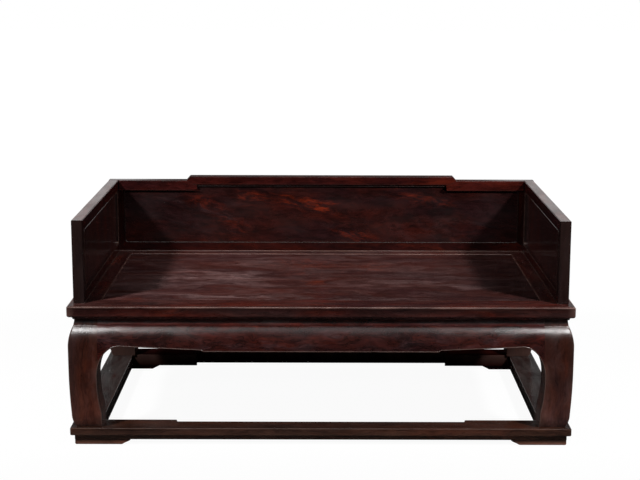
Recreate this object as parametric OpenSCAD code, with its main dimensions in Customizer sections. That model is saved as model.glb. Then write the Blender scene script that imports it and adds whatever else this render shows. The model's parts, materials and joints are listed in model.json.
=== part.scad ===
// Luohan daybed: a three-sided railing over a waisted, bulging-leg couch that stands on a floor frame.
// Millimetres. +Z is up, the open front faces -Y, and the origin is on the floor at the middle.

/* [Seat] */
// Length of the seat frame, left to right
seat_length = 1900; // [1700:10:2200]
// Depth of the seat frame, front to back
seat_depth = 1140; // [900:10:1300]
// Height of the seat surface above the floor
seat_height = 542; // [480:1:600]
// Width of the front and side seat rails
seat_rail_width = 117; // [105:1:140]
// Width of the back seat rail, which also carries the back railing
back_seat_rail_width = 160; // [110:1:180]
// Thickness of the seat rails
seat_rail_thickness = 52; // [48:1:60]
// Radius of the round under the flat seat edge
round_radius = 11; // [6:1:12]
// Width of the narrow flat between the round and the cove
edge_flat = 1; // [0.5:0.5:2]
// Radius of the cove over the waist
cove_radius = 10; // [6:1:11]
// Thickness of the floating seat boards
board_thickness = 20; // [18:1:22]
// How far the board surface lies below the seat rails
board_drop = 1.5; // [0.5:0.5:3]
// Depth of the tongue round the seat boards
board_tongue = 10; // [6:1:14]
// Thickness of that tongue
board_tongue_thickness = 10; // [8:1:12]
// Width of a batten under the boards
batten_width = 60; // [40:1:80]
// Height of a batten below the boards
batten_height = 26; // [20:1:27]
// How far the dovetailed top of a batten enters the boards
batten_key = 6; // [4:1:8]
// Distance from a batten's side to the top edge of its dovetail
batten_shoulder = 4; // [3:1:8]
// How much the dovetail widens upwards, each side
batten_splay = 2; // [1:0.5:3]
// Length of the tenon at each end of a batten
batten_tenon = 26; // [15:1:30]
// Width of that tenon
batten_tenon_width = 30; // [20:1:36]
// Height of that tenon
batten_tenon_height = 13; // [8:1:16]
// Height of the tenons that join the long seat rails to the short ones
rail_tenon_height = 11; // [8:1:11]
// Width of those tenons
rail_tenon_width = 40; // [30:1:50]
// Set-back of those tenons behind the outer face of the long rails
rail_tenon_inset = 30; // [24:1:34]
// Wood left beyond the end of those tenons
rail_tenon_wall = 16; // [12:1:24]

/* [Waist and aprons] */
// Visible height of the waist boards
waist_height = 24; // [16:1:40]
// Set-back of the waist behind the seat edge
waist_inset = 23; // [22:1:30]
// Thickness of the waist boards
waist_thickness = 20; // [16:1:22]
// Height of the tongue on the top edge of a waist board
waist_tongue = 6; // [4:1:10]
// Height of the aprons at the middle of the front
apron_height = 97; // [80:1:120]
// Thickness of an apron at its fullest
apron_thickness = 44; // [36:1:50]
// Set-back of the top of the aprons and legs, where the bulge starts
bulge_inset = 20; // [12:1:24]
// Height over which aprons and legs swell out to the full face
bulge_height = 82; // [50:1:90]
// Length of the deeper middle stretch of the long aprons
apron_middle = 880; // [400:10:1200]
// Step from the middle stretch up to the rest of the lower edge
apron_step = 6; // [2:1:12]
// Further rise of the lower edge towards the legs
apron_rise = 14; // [4:1:20]
// Width of the curved bracket beside each leg
bracket_width = 86; // [60:1:110]
// Height of that bracket
bracket_height = 119; // [90:1:140]
// Length of the tenon at each end of an apron
apron_tenon = 24; // [15:1:30]
// Thickness of that tenon
apron_tenon_thickness = 10; // [8:1:12]
// Height of that tenon
apron_tenon_height = 50; // [30:1:56]

/* [Legs] */
// Width of a leg beside the aprons
leg_width = 112; // [108:1:130]
// Width of a leg at its slimmest, under the bracket
leg_slim_width = 107; // [95:1:108]
// Width from the outer face to the inner lip of the hoof
hoof_width = 120; // [115:1:130]
// Height of the hoof lip above the floor frame
hoof_height = 59; // [40:1:80]
// Height above the floor frame at which the inner side begins to flare
flare_height = 184; // [120:1:190]
// Height above the floor frame of the ankle, where the outer face turns in to the toe
ankle_height = 54; // [40:1:70]
// Height above the floor frame at which the outer face starts to draw in
shin_height = 234; // [190:1:250]
// How far the outer face has drawn in at the ankle
ankle_inset = 6; // [2:1:10]
// How far the outer face has drawn in at the bottom
toe_inset = 20; // [12:1:26]
// Height of the shoulder on the leg that carries the apron, below the waist
shoulder_drop = 132; // [120:1:150]
// Side of the square tenons at both ends of a leg
leg_tenon = 40; // [30:1:50]
// Length of the upper leg tenon
leg_top_tenon = 26; // [16:1:28]
// Length of the lower leg tenon
leg_foot_tenon = 36; // [20:1:40]

/* [Floor frame] */
// Height of the floor frame above the floor
floor_frame_top = 70; // [60:1:90]
// Thickness of the upper, full-width layer of the floor frame
floor_frame_upper = 30; // [20:1:34]
// Set-back of the lower layer and the feet
floor_frame_rabbet = 15; // [8:1:20]
// Width of the floor frame at the corners and sides
floor_frame_width = 108; // [100:1:130]
// Width of the front member between its wide ends
front_member_width = 86; // [60:1:100]
// Width of the back member between its wide ends
back_member_width = 62; // [50:1:100]
// Length of the wide end of the front and back members
wide_end_length = 390; // [250:10:450]
// Length of the slope from wide to narrow
wide_end_slope = 16; // [8:1:30]
// Height of the pad feet
foot_height = 21; // [12:1:30]
// Length of a foot along the front or back
foot_length = 180; // [120:1:240]
// Length of a foot along the side
foot_side_length = 150; // [110:1:240]
// Length of the slope at the end of a foot
foot_slope = 32; // [10:1:50]
// Width of a foot
foot_width = 80; // [60:1:90]

/* [Railings] */
// Height of the side railings and of the low ends of the back railing
railing_height = 317; // [240:1:420]
// Thickness of the railings
railing_thickness = 42; // [36:1:50]
// Set-back of the side railings from the seat sides
railing_side_inset = 18; // [10:1:30]
// Set-back of the side railings from the seat front
railing_front_inset = 56; // [20:1:100]
// Set-back of the back railing from the seat back
railing_back_inset = 54; // [20:1:60]
// Height of the top rails
top_rail_height = 45; // [36:1:60]
// Height of the bottom rails
bottom_rail_height = 42; // [36:1:60]
// Width of the side railings' stiles
side_stile_width = 42; // [36:1:60]
// Width of the back railing's stiles
back_stile_width = 68; // [60:1:90]
// Rise of the middle of the back railing
middle_rise = 18; // [8:1:30]
// Length of the raised middle
middle_length = 1154; // [800:10:1300]
// Length of the slope at each end of the raised middle
middle_slope = 15; // [8:1:30]
// How much shorter the raised middle is at the lower edge of its rail, each end
middle_return = 20; // [10:1:40]
// Thickness of the railing panels
panel_thickness = 14; // [10:1:16]
// Set-back of the panels behind the inner face
panel_recess = 8; // [4:1:10]
// Depth of the panel edge inside the frame grooves
panel_tongue = 8; // [5:1:10]
// Thickness of the frame tenons at the railing corners
frame_tenon_thickness = 10; // [8:1:12]
// Wall left outside a hidden tenon
tenon_wall = 8; // [6:1:12]
// Distance from a rail's outer edge to its tenons
tenon_edge = 12; // [8:1:14]
// Length of the tongue between the end pieces and the raised middle of the back top rail
scarf_tongue_length = 16; // [10:1:30]

/* [Loose joints] */
// Clearance round a tenon or tongue
fit = 0.3; // [0.2:0.1:0.6]
// Length of a planted tenon between a railing and the seat
seat_tenon_length = 50; // [30:1:70]
// Thickness of a planted tenon
seat_tenon_thickness = 12; // [10:1:16]
// How far a planted tenon enters the seat rail
seat_tenon_drop = 14; // [8:1:16]
// How far a planted tenon is let into the railing
seat_tenon_root = 16; // [10:1:20]
// Distance between the planted tenons of the back railing
back_tenon_spacing = 600; // [300:10:700]
// Distance of the side railings' planted tenons from the ends of the railing
side_tenon_margin = 220; // [100:10:300]
// Height of the lower dovetail key above the bottom rail
key_gap = 20; // [6:1:24]
// Height of a dovetail key at a railing corner
key_height = 36; // [24:1:50]
// Height of the entry mouth above a dovetail slot, which is the lift that frees the key
key_travel = 40; // [30:1:50]
// Width of a dovetail key at its neck
key_neck = 10; // [8:1:12]
// Width of a dovetail key at its head
key_head = 16; // [13:1:20]
// How far a key stands out of the side railing
key_depth = 10; // [8:1:12]
// How far a key is let into the side railing
key_root = 12; // [8:1:16]

/* [Hidden] */
$fn = 64;
half_length = seat_length / 2;
half_depth = seat_depth / 2;
long_side = [half_length, half_depth];
short_side = [half_depth, half_length];
seat_underside = seat_height - seat_rail_thickness;
board_top = seat_height - board_drop;
board_bottom = board_top - board_thickness;
board_half_x = half_length - seat_rail_width;
board_front = -half_depth + seat_rail_width;
board_back = half_depth - back_seat_rail_width;
batten_count = 4;
batten_spacing = 2 * board_half_x / batten_count;
waist_bottom = seat_underside - waist_height;
bulge_level = waist_bottom - bulge_height;
bulge_radius = (bulge_height * bulge_height + bulge_inset * bulge_inset) / (2 * bulge_inset);
apron_bottom = waist_bottom - apron_height;
apron_end_bottom = apron_bottom + apron_step + apron_rise;
apron_tenon_inset = waist_inset;
bracket_centre = leg_slim_width + bracket_width;
bracket_foot = apron_end_bottom - bracket_height;
shoulder_level = waist_bottom - shoulder_drop;
flare_level = floor_frame_top + flare_height;
hoof_level = floor_frame_top + hoof_height;
ankle_level = floor_frame_top + ankle_height;
shin_level = floor_frame_top + shin_height;
leg_block = hoof_width + bracket_width;
leg_tenon_centre = (toe_inset + hoof_width) / 2;
layer_level = floor_frame_top - floor_frame_upper;
railing_back_face = half_depth - railing_back_inset;
railing_front_face = railing_back_face - railing_thickness;
railing_half_x = half_length - railing_side_inset;
side_railing_front = -half_depth + railing_front_inset;
side_railing_length = railing_front_face - side_railing_front;
back_opening_half = railing_half_x - back_stile_width;
frame_tenon_inset = railing_thickness - tenon_wall - frame_tenon_thickness;
railing_top = seat_height + railing_height;
opening_top = railing_top - top_rail_height;
opening_bottom = seat_height + bottom_rail_height;
side_far = side_railing_length - side_stile_width;
step_top = [middle_length / 2 + middle_slope, railing_top];
step_peak = [middle_length / 2, railing_top + middle_rise];
step_inner = [middle_length / 2 + middle_slope - middle_return, opening_top];
step_root = [middle_length / 2 - middle_return, opening_top + middle_rise];
key_x = railing_half_x - railing_thickness / 2;
key_levels = [opening_bottom + key_gap, opening_bottom + key_gap + (opening_top - opening_bottom) / 2];
bulge_facets = 128;
arc_steps = 10;
overshoot = 1;
eps = 0.01;

wood = "#3a1d1c";
wood_red = "#4a211c";
wood_dark = "#2a1717";

// ---- placing helpers ----

// Mirrors the children to the left side when asked
module flip_x(on) {
    if (on) mirror([1, 0, 0]) children();
    else children();
}

// Mirrors the children to the back when asked
module flip_y(on) {
    if (on) mirror([0, 1, 0]) children();
    else children();
}

// Turns a piece that is drawn along the front edge to one of the four edges
module at_edge(edge) {
    if (edge == "front") children();
    if (edge == "back") mirror([0, 1, 0]) children();
    if (edge == "right") rotate([0, 0, 90]) children();
    if (edge == "left") mirror([1, 0, 0]) rotate([0, 0, 90]) children();
}

// Extrudes a section along X; the section's x is the inset from the face at -Y, its y is the height
module along_edge(reach, face) {
    translate([-reach, -face, 0]) rotate([90, 0, 90]) linear_extrude(2 * reach) children();
}

// Extrudes a front outline through a thickness, starting at an inset behind the face at -Y
module through_edge(face, inset, thickness) {
    translate([0, -face + inset + thickness, 0]) rotate([90, 0, 0]) linear_extrude(thickness) children();
}

// Box from its lowest to its highest corner, grown by a clearance
module box(low, high, grow = 0) {
    translate([low.x - grow, low.y - grow, low.z - grow])
        cube([high.x - low.x + 2 * grow, high.y - low.y + 2 * grow, high.z - low.z + 2 * grow]);
}

// The reach along an edge and the distance of its face from the middle
function span(edge) = (edge == "front" || edge == "back") ? long_side : short_side;

// ---- floor frame ----

// Plan of a front or back member: wide at both ends, narrower between them
module member_plan(inset, wide, narrow) {
    reach = half_length - inset;
    face = half_depth - inset;
    inner = half_length - wide;
    turn = half_length - wide_end_length;
    polygon([
        [-reach, -face], [reach, -face], [inner, -half_depth + wide], [turn, -half_depth + wide],
        [turn - wide_end_slope, -half_depth + narrow], [-turn + wide_end_slope, -half_depth + narrow],
        [-turn, -half_depth + wide], [-inner, -half_depth + wide]
    ]);
}

// Plan of a side member, the same width all along
module side_member_plan(inset) {
    reach = half_depth - inset;
    face = half_length - inset;
    polygon([
        [-reach, -face], [reach, -face],
        [half_depth - floor_frame_width, -half_length + floor_frame_width],
        [-half_depth + floor_frame_width, -half_length + floor_frame_width]
    ]);
}

// Square tenons under the four legs, or their mortises when grown
module leg_foot_tenons(grow = 0) {
    for (x = [-1, 1], y = [-1, 1])
        translate([x * (half_length - leg_tenon_centre), y * (half_depth - leg_tenon_centre), 0])
            box([-leg_tenon / 2, -leg_tenon / 2, floor_frame_top - leg_foot_tenon],
                [leg_tenon / 2, leg_tenon / 2, floor_frame_top + eps], grow);
}

module stretcher(edge) {
    narrow = edge == "back" ? back_member_width : front_member_width;
    color(wood_dark) difference() {
        at_edge(edge) union() {
            translate([0, 0, layer_level]) linear_extrude(floor_frame_upper)
                if (span(edge) == long_side) member_plan(0, floor_frame_width, narrow);
                else side_member_plan(0);
            translate([0, 0, foot_height]) linear_extrude(layer_level - foot_height)
                if (span(edge) == long_side) member_plan(floor_frame_rabbet, floor_frame_width, narrow);
                else side_member_plan(floor_frame_rabbet);
        }
        leg_foot_tenons(fit);
    }
}

// One arm of a foot, with a sloped end, drawn at the front right corner along the front
module foot_arm(length, reach, face) {
    start = reach - floor_frame_rabbet;
    through_edge(face, floor_frame_rabbet, foot_width)
        polygon([
            [start, 0], [start, foot_height],
            [start - length - foot_slope, foot_height], [start - length, 0]
        ]);
}

module foot(left, back) {
    color(wood_dark) flip_x(left) flip_y(back) union() {
        foot_arm(foot_length, half_length, half_depth);
        rotate([0, 0, 90]) mirror([1, 0, 0]) foot_arm(foot_side_length, half_depth, half_length);
    }
}

// ---- legs ----

// Points of an arc, from one angle to another
function arc(centre, radius, from, to) =
    [for (i = [0 : arc_steps]) centre + radius * [cos(from + (to - from) * i / arc_steps),
                                                  sin(from + (to - from) * i / arc_steps)]];

// Radius of an arc that is upright at one end and drifts sideways over a rise
function drift_radius(rise, drift) = (rise * rise + drift * drift) / (2 * drift);

// Points of the bracket curve, from its top beside the apron down to a level
function bracket_curve(low) =
    let (last = asin((low - bracket_foot) / bracket_height))
    [for (i = [0 : arc_steps]) let (a = 90 + (last - 90) * i / arc_steps)
        [bracket_centre - bracket_width * cos(a), bracket_foot + bracket_height * sin(a)]];

// The same curve from the shoulder of the leg down to the leg's slimmest level
function bracket_tail() =
    let (first = asin((shoulder_level - bracket_foot) / bracket_height))
    [for (i = [0 : arc_steps]) let (a = first * (1 - i / arc_steps))
        [bracket_centre - bracket_width * cos(a), bracket_foot + bracket_height * sin(a)]];

// Outer edge of a leg from the bottom up, as inset and height
function leg_outer() =
    let (toe = drift_radius(ankle_level - floor_frame_top, toe_inset - ankle_inset),
         shin = drift_radius(shin_level - ankle_level, ankle_inset),
         toe_angle = asin((ankle_level - floor_frame_top) / toe),
         shin_angle = asin((shin_level - ankle_level) / shin),
         bulge_angle = asin(bulge_height / bulge_radius))
    concat(
        arc([ankle_inset + toe, ankle_level], toe, 180 + toe_angle, 180),
        [for (i = [1 : arc_steps]) let (a = 180 + shin_angle * (1 - i / arc_steps))
            [shin + shin * cos(a), shin_level + shin * sin(a)]],
        arc([bulge_radius, bulge_level], bulge_radius, 180, 180 - bulge_angle)
    );

// Inner edge of a leg from the top down
function leg_inner() = concat(
    [[leg_width, seat_underside], [leg_width, shoulder_level]],
    bracket_tail(),
    [for (i = [0 : arc_steps]) let (t = i / arc_steps)
        [leg_slim_width + (hoof_width - leg_slim_width) * t * t,
         flare_level + (hoof_level - flare_level) * t]],
    [[hoof_width, floor_frame_top]]
);

function leg_outline() = concat(leg_outer(), [[waist_inset, waist_bottom], [waist_inset, seat_underside]],
                                leg_inner());

// Square tenons on top of the four legs, or their mortises when grown
module leg_top_tenons(grow = 0) {
    for (x = [-1, 1], y = [-1, 1])
        translate([x * (half_length - leg_tenon_centre), y * (half_depth - leg_tenon_centre), 0])
            box([-leg_tenon / 2, -leg_tenon / 2, seat_underside - eps],
                [leg_tenon / 2, leg_tenon / 2, seat_underside + leg_top_tenon], grow);
}

// Tenons at the ends of one apron, or their mortises when grown
module apron_tenons(edge, grow = 0) {
    reach = span(edge)[0] - leg_width;
    face = span(edge)[1];
    middle = (waist_bottom + apron_end_bottom) / 2;
    at_edge(edge)
        box([-reach - apron_tenon, -face + apron_tenon_inset, middle - apron_tenon_height / 2],
            [reach + apron_tenon, -face + apron_tenon_inset + apron_tenon_thickness,
             middle + apron_tenon_height / 2], grow);
}

module leg(left, back) {
    color(wood_red) difference() {
        union() {
            flip_x(left) flip_y(back) intersection() {
                translate([half_length, -half_depth + leg_block, 0]) rotate([90, 0, 0])
                    linear_extrude(leg_block) polygon([for (p = leg_outline()) [-p.x, p.y]]);
                translate([half_length - leg_block, -half_depth, 0]) rotate([90, 0, 90])
                    linear_extrude(leg_block) polygon(leg_outline());
            }
            flip_x(left) flip_y(back) intersection() {
                union() {
                    leg_top_tenons();
                    leg_foot_tenons();
                }
                box([0, -half_depth, 0], [half_length, 0, seat_height]);
            }
        }
        apron_tenons(back ? "back" : "front", fit);
        apron_tenons(left ? "left" : "right", fit);
    }
}

// ---- aprons and waist ----

// Section of an apron: flat behind, swelling out in front
module apron_section() {
    intersection() {
        translate([0, bracket_foot]) square([apron_thickness, waist_bottom - bracket_foot]);
        union() {
            translate([bulge_radius, bulge_level]) circle(bulge_radius, $fn = bulge_facets);
            translate([0, bracket_foot]) square([apron_thickness, bulge_level - bracket_foot]);
        }
    }
}

// Right half of an apron's lower edge, from the middle to the leg, as points
function apron_edge(reach, middle) =
    let (low = middle > 0 ? apron_bottom : apron_bottom + apron_step)
    concat(
        [[0, low]],
        middle > 0 ? [[middle / 2 - apron_step, low], [middle / 2, low + apron_step]] : [],
        [for (p = bracket_curve(shoulder_level)) [reach - p.x, p.y]],
        [[reach - leg_width, shoulder_level], [reach - leg_width, waist_bottom]]
    );

module apron(edge) {
    reach = span(edge)[0];
    face = span(edge)[1];
    half_edge = apron_edge(reach, span(edge) == long_side ? apron_middle : 0);
    color(wood) union() {
        at_edge(edge) intersection() {
            along_edge(reach, face) apron_section();
            through_edge(face, 0, apron_thickness)
                polygon(concat(half_edge, [for (i = [len(half_edge) - 1 : -1 : 1])
                                           [-half_edge[i].x, half_edge[i].y]]));
        }
        difference() {
            apron_tenons(edge);
            at_edge(edge)
                box([-reach + leg_width + eps, -face, 0], [reach - leg_width - eps, 0, seat_height]);
        }
    }
}

// Tongue on top of a waist board, or its groove when grown
module waist_tongue_bar(edge, grow = 0) {
    reach = span(edge)[0] - leg_width;
    face = span(edge)[1];
    third = waist_thickness / 3;
    at_edge(edge)
        box([-reach, -face + waist_inset + third, seat_underside - eps],
            [reach, -face + waist_inset + 2 * third, seat_underside + waist_tongue], grow);
}

module waist(edge) {
    reach = span(edge)[0] - leg_width;
    face = span(edge)[1];
    color(wood_dark) union() {
        at_edge(edge)
            box([-reach, -face + waist_inset, waist_bottom],
                [reach, -face + waist_inset + waist_thickness, seat_underside]);
        waist_tongue_bar(edge);
    }
}

// ---- seat ----

// Cutter for the lower outer corner of a seat rail, up to a width and a height
module corner_cutter(width, height) {
    translate([-overshoot, seat_underside - overshoot]) square([width + overshoot, height + overshoot]);
}

// Section of a seat rail: a flat edge, a round under it, a narrow flat and a cove
module seat_rail_section(width) {
    round_level = seat_underside + cove_radius + round_radius;
    cove_start = round_radius + edge_flat;
    difference() {
        translate([0, seat_underside]) square([width, seat_rail_thickness]);
        difference() {
            corner_cutter(round_radius, cove_radius + round_radius);
            translate([round_radius, round_level]) circle(round_radius);
        }
        corner_cutter(cove_start, cove_radius);
        translate([cove_start, seat_underside]) circle(cove_radius);
    }
}

// The seat board blank with its tongue, or the groove for it when grown
module board_blank(grow = 0) {
    box([-board_half_x, board_front, board_bottom - grow], [board_half_x, board_back, board_top], 0);
    box([-board_half_x - board_tongue, board_front - board_tongue, board_bottom],
        [board_half_x + board_tongue, board_back + board_tongue,
         board_bottom + board_tongue_thickness], grow);
}

// Tenons of the long seat rails inside the short ones, or their mortises when grown
module seat_rail_tenons(back, grow = 0) {
    reach = half_length - rail_tenon_wall;
    low = seat_height - tenon_wall - rail_tenon_height;
    flip_y(back)
        box([-reach, -half_depth + rail_tenon_inset, low],
            [reach, -half_depth + rail_tenon_inset + rail_tenon_width, low + rail_tenon_height], grow);
}

// Blocks planted between the railings and the seat, or their mortises when grown
module seat_tenon_block(along_x, grow = 0) {
    size = along_x ? [seat_tenon_length, seat_tenon_thickness] : [seat_tenon_thickness, seat_tenon_length];
    box([-size.x / 2, -size.y / 2, seat_height - seat_tenon_drop],
        [size.x / 2, size.y / 2, seat_height + seat_tenon_root], grow);
}

module back_tenon_blocks(grow = 0) {
    for (place = [-1 : 1])
        translate([place * back_tenon_spacing,
                   railing_front_face + frame_tenon_inset + frame_tenon_thickness / 2, 0])
            seat_tenon_block(true, grow);
}

module side_tenon_blocks(left, grow = 0) {
    flip_x(left) for (place = [side_tenon_margin, side_railing_length - side_tenon_margin])
        translate([railing_half_x - railing_thickness + frame_tenon_inset + frame_tenon_thickness / 2,
                   side_railing_front + place, 0])
            seat_tenon_block(false, grow);
}

// Plan of a seat rail, mitred from the corners of the seat to the corners of the boards
module seat_rail_plan(edge) {
    outer = [[-half_length, -half_depth], [half_length, -half_depth],
             [half_length, half_depth], [-half_length, half_depth]];
    inner = [[-board_half_x, board_front], [board_half_x, board_front],
             [board_half_x, board_back], [-board_half_x, board_back]];
    start = edge == "front" ? 0 : edge == "right" ? 1 : edge == "back" ? 2 : 3;
    end = (start + 1) % len(outer);
    polygon([outer[start], outer[end], inner[end], inner[start]]);
}

module seat_rail(edge) {
    reach = span(edge)[0];
    face = span(edge)[1];
    long = span(edge) == long_side;
    width = edge == "back" ? back_seat_rail_width : seat_rail_width;
    color(wood_red) difference() {
        union() {
            intersection() {
                at_edge(edge) along_edge(reach, face) seat_rail_section(width);
                linear_extrude(seat_height + eps) seat_rail_plan(edge);
            }
            if (long) difference() {
                seat_rail_tenons(edge == "back");
                box([-reach + seat_rail_width, -half_depth, 0],
                    [reach - seat_rail_width, half_depth, seat_height]);
            }
        }
        board_blank(fit);
        leg_top_tenons(fit);
        waist_tongue_bar(edge, fit);
        back_tenon_blocks(fit);
        side_tenon_blocks(true, fit);
        side_tenon_blocks(false, fit);
        batten_tenons(fit);
        if (!long) for (back = [true, false]) seat_rail_tenons(back, fit);
    }
}

// Section of a batten: a flat bar with a dovetailed top
module batten_section(grow = 0) {
    top = board_bottom + batten_key + grow;
    half = batten_width / 2;
    polygon([
        [-half, board_bottom - batten_height], [half, board_bottom - batten_height], [half, board_bottom],
        [half - batten_shoulder - batten_splay + grow, board_bottom],
        [half - batten_shoulder + grow, top], [-half + batten_shoulder - grow, top],
        [-half + batten_shoulder + batten_splay - grow, board_bottom], [-half, board_bottom]
    ]);
}

function batten_x(index) = (index - (batten_count - 1) / 2) * batten_spacing;

// Tenons of all the battens, or their mortises when grown
module batten_tenons(grow = 0) {
    low = [-batten_tenon_width / 2, board_front - batten_tenon, -batten_tenon_height / 2];
    high = [batten_tenon_width / 2, board_back + batten_tenon, batten_tenon_height / 2];
    for (i = [0 : batten_count - 1]) translate([batten_x(i), 0, board_bottom - batten_height / 2])
        box(low, high, grow);
}

module seat_board(back) {
    color(wood) difference() {
        intersection() {
            board_blank();
            flip_y(!back) box([-half_length, 0, 0], [half_length, half_depth, seat_height]);
        }
        for (i = [0 : batten_count - 1]) translate([batten_x(i), half_depth, 0])
            rotate([90, 0, 0]) linear_extrude(seat_depth) batten_section(fit);
    }
}

module batten(index) {
    color(wood_dark) union() {
        translate([batten_x(index), board_back, 0]) rotate([90, 0, 0])
            linear_extrude(board_back - board_front) batten_section();
        intersection() {
            batten_tenons();
            translate([batten_x(index), 0, 0])
                box([-batten_width, -half_depth, 0], [batten_width, half_depth, seat_height]);
        }
    }
}

// ---- back railing ----

// Extrudes an outline of the back railing from an inset behind its inner face
module back_slab(inset, thickness) {
    translate([0, railing_front_face + inset + thickness, 0]) rotate([90, 0, 0])
        linear_extrude(thickness) children();
}

function mirrored(points) = [for (p = points) [-p.x, p.y]];

module back_top_rail_end(left) {
    color(wood_red) difference() {
        union() {
            flip_x(left) back_slab(0, railing_thickness)
                polygon([[railing_half_x, railing_top], step_top, step_root, step_inner,
                         [back_opening_half, opening_top]]);
            intersection() {
                back_frame_tenons(true);
                flip_x(left) box([0, -half_depth, 0], [half_length, half_depth, railing_top]);
            }
            flip_x(left) scarf_tongue();
        }
        back_panel_blank(fit);
    }
}

// Tongue of an end rail inside the raised rail, or its socket when grown
module scarf_tongue(grow = 0) {
    low = opening_top + middle_rise + tenon_wall;
    deep = railing_front_face + frame_tenon_inset;
    box([step_root.x - scarf_tongue_length, deep, low],
        [step_root.x + middle_slope, deep + frame_tenon_thickness, low + frame_tenon_thickness], grow);
}

module back_top_rail_middle() {
    color(wood_red) difference() {
        back_slab(0, railing_thickness)
            polygon(concat([step_top, step_peak], mirrored([step_peak, step_top, step_root]), [step_root]));
        back_panel_blank(fit);
        scarf_tongue(fit);
        mirror([1, 0, 0]) scarf_tongue(fit);
    }
}

// Tenons at both ends of the back top rail or bottom rail, or their mortises when grown
module back_frame_tenons(top, grow = 0) {
    low = top ? opening_top + tenon_wall : seat_height + tenon_edge;
    high = top ? railing_top - tenon_edge : opening_bottom - tenon_wall;
    deep = railing_front_face + frame_tenon_inset;
    for (side = [0, 1]) flip_x(side == 1)
        box([back_opening_half - eps, deep, low],
            [railing_half_x - tenon_wall, deep + frame_tenon_thickness, high], grow);
}

module back_bottom_rail() {
    color(wood) difference() {
        union() {
            back_slab(0, railing_thickness)
                polygon([[-railing_half_x, seat_height], [railing_half_x, seat_height],
                         [back_opening_half, opening_bottom], [-back_opening_half, opening_bottom]]);
            back_frame_tenons(false);
        }
        back_panel_blank(fit);
        back_tenon_blocks(fit);
    }
}

module back_stile(left) {
    color(wood) difference() {
        flip_x(left) back_slab(0, railing_thickness)
            polygon([[railing_half_x, seat_height], [railing_half_x, railing_top],
                     [back_opening_half, opening_top], [back_opening_half, opening_bottom]]);
        back_panel_blank(fit);
        back_frame_tenons(true, fit);
        back_frame_tenons(false, fit);
        key_slots(left);
    }
}

// The back panel with its tongue, or the groove for it when grown
module back_panel_blank(grow = 0) {
    lift = panel_tongue + grow;
    reach = back_opening_half + lift;
    low = opening_bottom - lift;
    back_slab(panel_recess - grow, panel_thickness + 2 * grow)
        polygon(concat(
            [[-reach, low], [reach, low], [reach, opening_top + lift],
             [step_inner.x, opening_top + lift], [step_root.x, opening_top + middle_rise + lift]],
            mirrored([[step_root.x, opening_top + middle_rise + lift], [step_inner.x, opening_top + lift],
                      [reach, opening_top + lift]])
        ));
}

module back_panel() {
    color(wood_red) back_panel_blank();
}

module back_seat_tenons() {
    color(wood_dark) back_tenon_blocks();
}

// ---- side railings, drawn on the right ----

// Extrudes an outline of the right railing; the outline's x runs from the front end to the back
module side_slab(inset, thickness) {
    translate([railing_half_x - railing_thickness + inset, side_railing_front, 0])
        rotate([90, 0, 90]) linear_extrude(thickness) children();
}

// Tenons at both ends of a side railing's top rail or bottom rail, or their mortises when grown
module side_frame_tenons(top, grow = 0) {
    low = top ? opening_top + tenon_wall : seat_height + tenon_edge;
    high = top ? railing_top - tenon_edge : opening_bottom - tenon_wall;
    deep = railing_half_x - railing_thickness + frame_tenon_inset;
    for (ends = [[tenon_wall, side_stile_width + eps], [side_far - eps, side_railing_length - tenon_wall]])
        box([deep, side_railing_front + ends[0], low],
            [deep + frame_tenon_thickness, side_railing_front + ends[1], high], grow);
}

module side_top_rail(left) {
    color(wood) difference() {
        flip_x(left) union() {
            side_slab(0, railing_thickness)
                polygon([[0, railing_top], [side_stile_width, opening_top], [side_far, opening_top],
                         [side_railing_length, railing_top]]);
            side_frame_tenons(true);
        }
        flip_x(left) side_panel_blank(fit);
    }
}

module side_bottom_rail(left) {
    color(wood) difference() {
        flip_x(left) union() {
            side_slab(0, railing_thickness)
                polygon([[0, seat_height], [side_railing_length, seat_height], [side_far, opening_bottom],
                         [side_stile_width, opening_bottom]]);
            side_frame_tenons(false);
        }
        flip_x(left) side_panel_blank(fit);
        side_tenon_blocks(left, fit);
    }
}

module side_front_stile(left) {
    color(wood_red) flip_x(left) difference() {
        side_slab(0, railing_thickness)
            polygon([[0, seat_height], [side_stile_width, opening_bottom], [side_stile_width, opening_top],
                     [0, railing_top]]);
        side_panel_blank(fit);
        side_frame_tenons(true, fit);
        side_frame_tenons(false, fit);
    }
}

module side_back_stile(left) {
    color(wood_dark) difference() {
        flip_x(left) side_slab(0, railing_thickness)
            polygon([[side_railing_length, seat_height], [side_railing_length, railing_top],
                     [side_far, opening_top], [side_far, opening_bottom]]);
        flip_x(left) side_panel_blank(fit);
        flip_x(left) side_frame_tenons(true, fit);
        flip_x(left) side_frame_tenons(false, fit);
        key_blocks(left, fit);
    }
}

// The side panel with its tongue, or the groove for it when grown
module side_panel_blank(grow = 0) {
    lift = panel_tongue + grow;
    side_slab(panel_recess - grow, panel_thickness + 2 * grow)
        polygon([[side_stile_width - lift, opening_bottom - lift], [side_far + lift, opening_bottom - lift],
                 [side_far + lift, opening_top + lift], [side_stile_width - lift, opening_top + lift]]);
}

module side_panel(left) {
    color(wood) flip_x(left) side_panel_blank();
}

module side_seat_tenons(left) {
    color(wood_dark) side_tenon_blocks(left);
}

// ---- dovetail keys between the side railings and the back railing ----

// Dovetail section of a key in plan, its neck on the joint face
module key_section(grow = 0) {
    neck = key_neck / 2 + grow;
    head = key_head / 2 + grow;
    polygon([[key_x - neck, railing_front_face], [key_x - head, railing_front_face + key_depth + grow],
             [key_x + head, railing_front_face + key_depth + grow], [key_x + neck, railing_front_face]]);
}

// Rooted keys at one corner
module key_blocks(left, grow = 0) {
    flip_x(left) for (level = key_levels) {
        translate([0, 0, level - grow]) linear_extrude(key_height + 2 * grow)
            key_section(grow);
        box([key_x - key_neck / 2, railing_front_face - key_root, level],
            [key_x + key_neck / 2, railing_front_face + eps, level + key_height], grow);
    }
}

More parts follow.
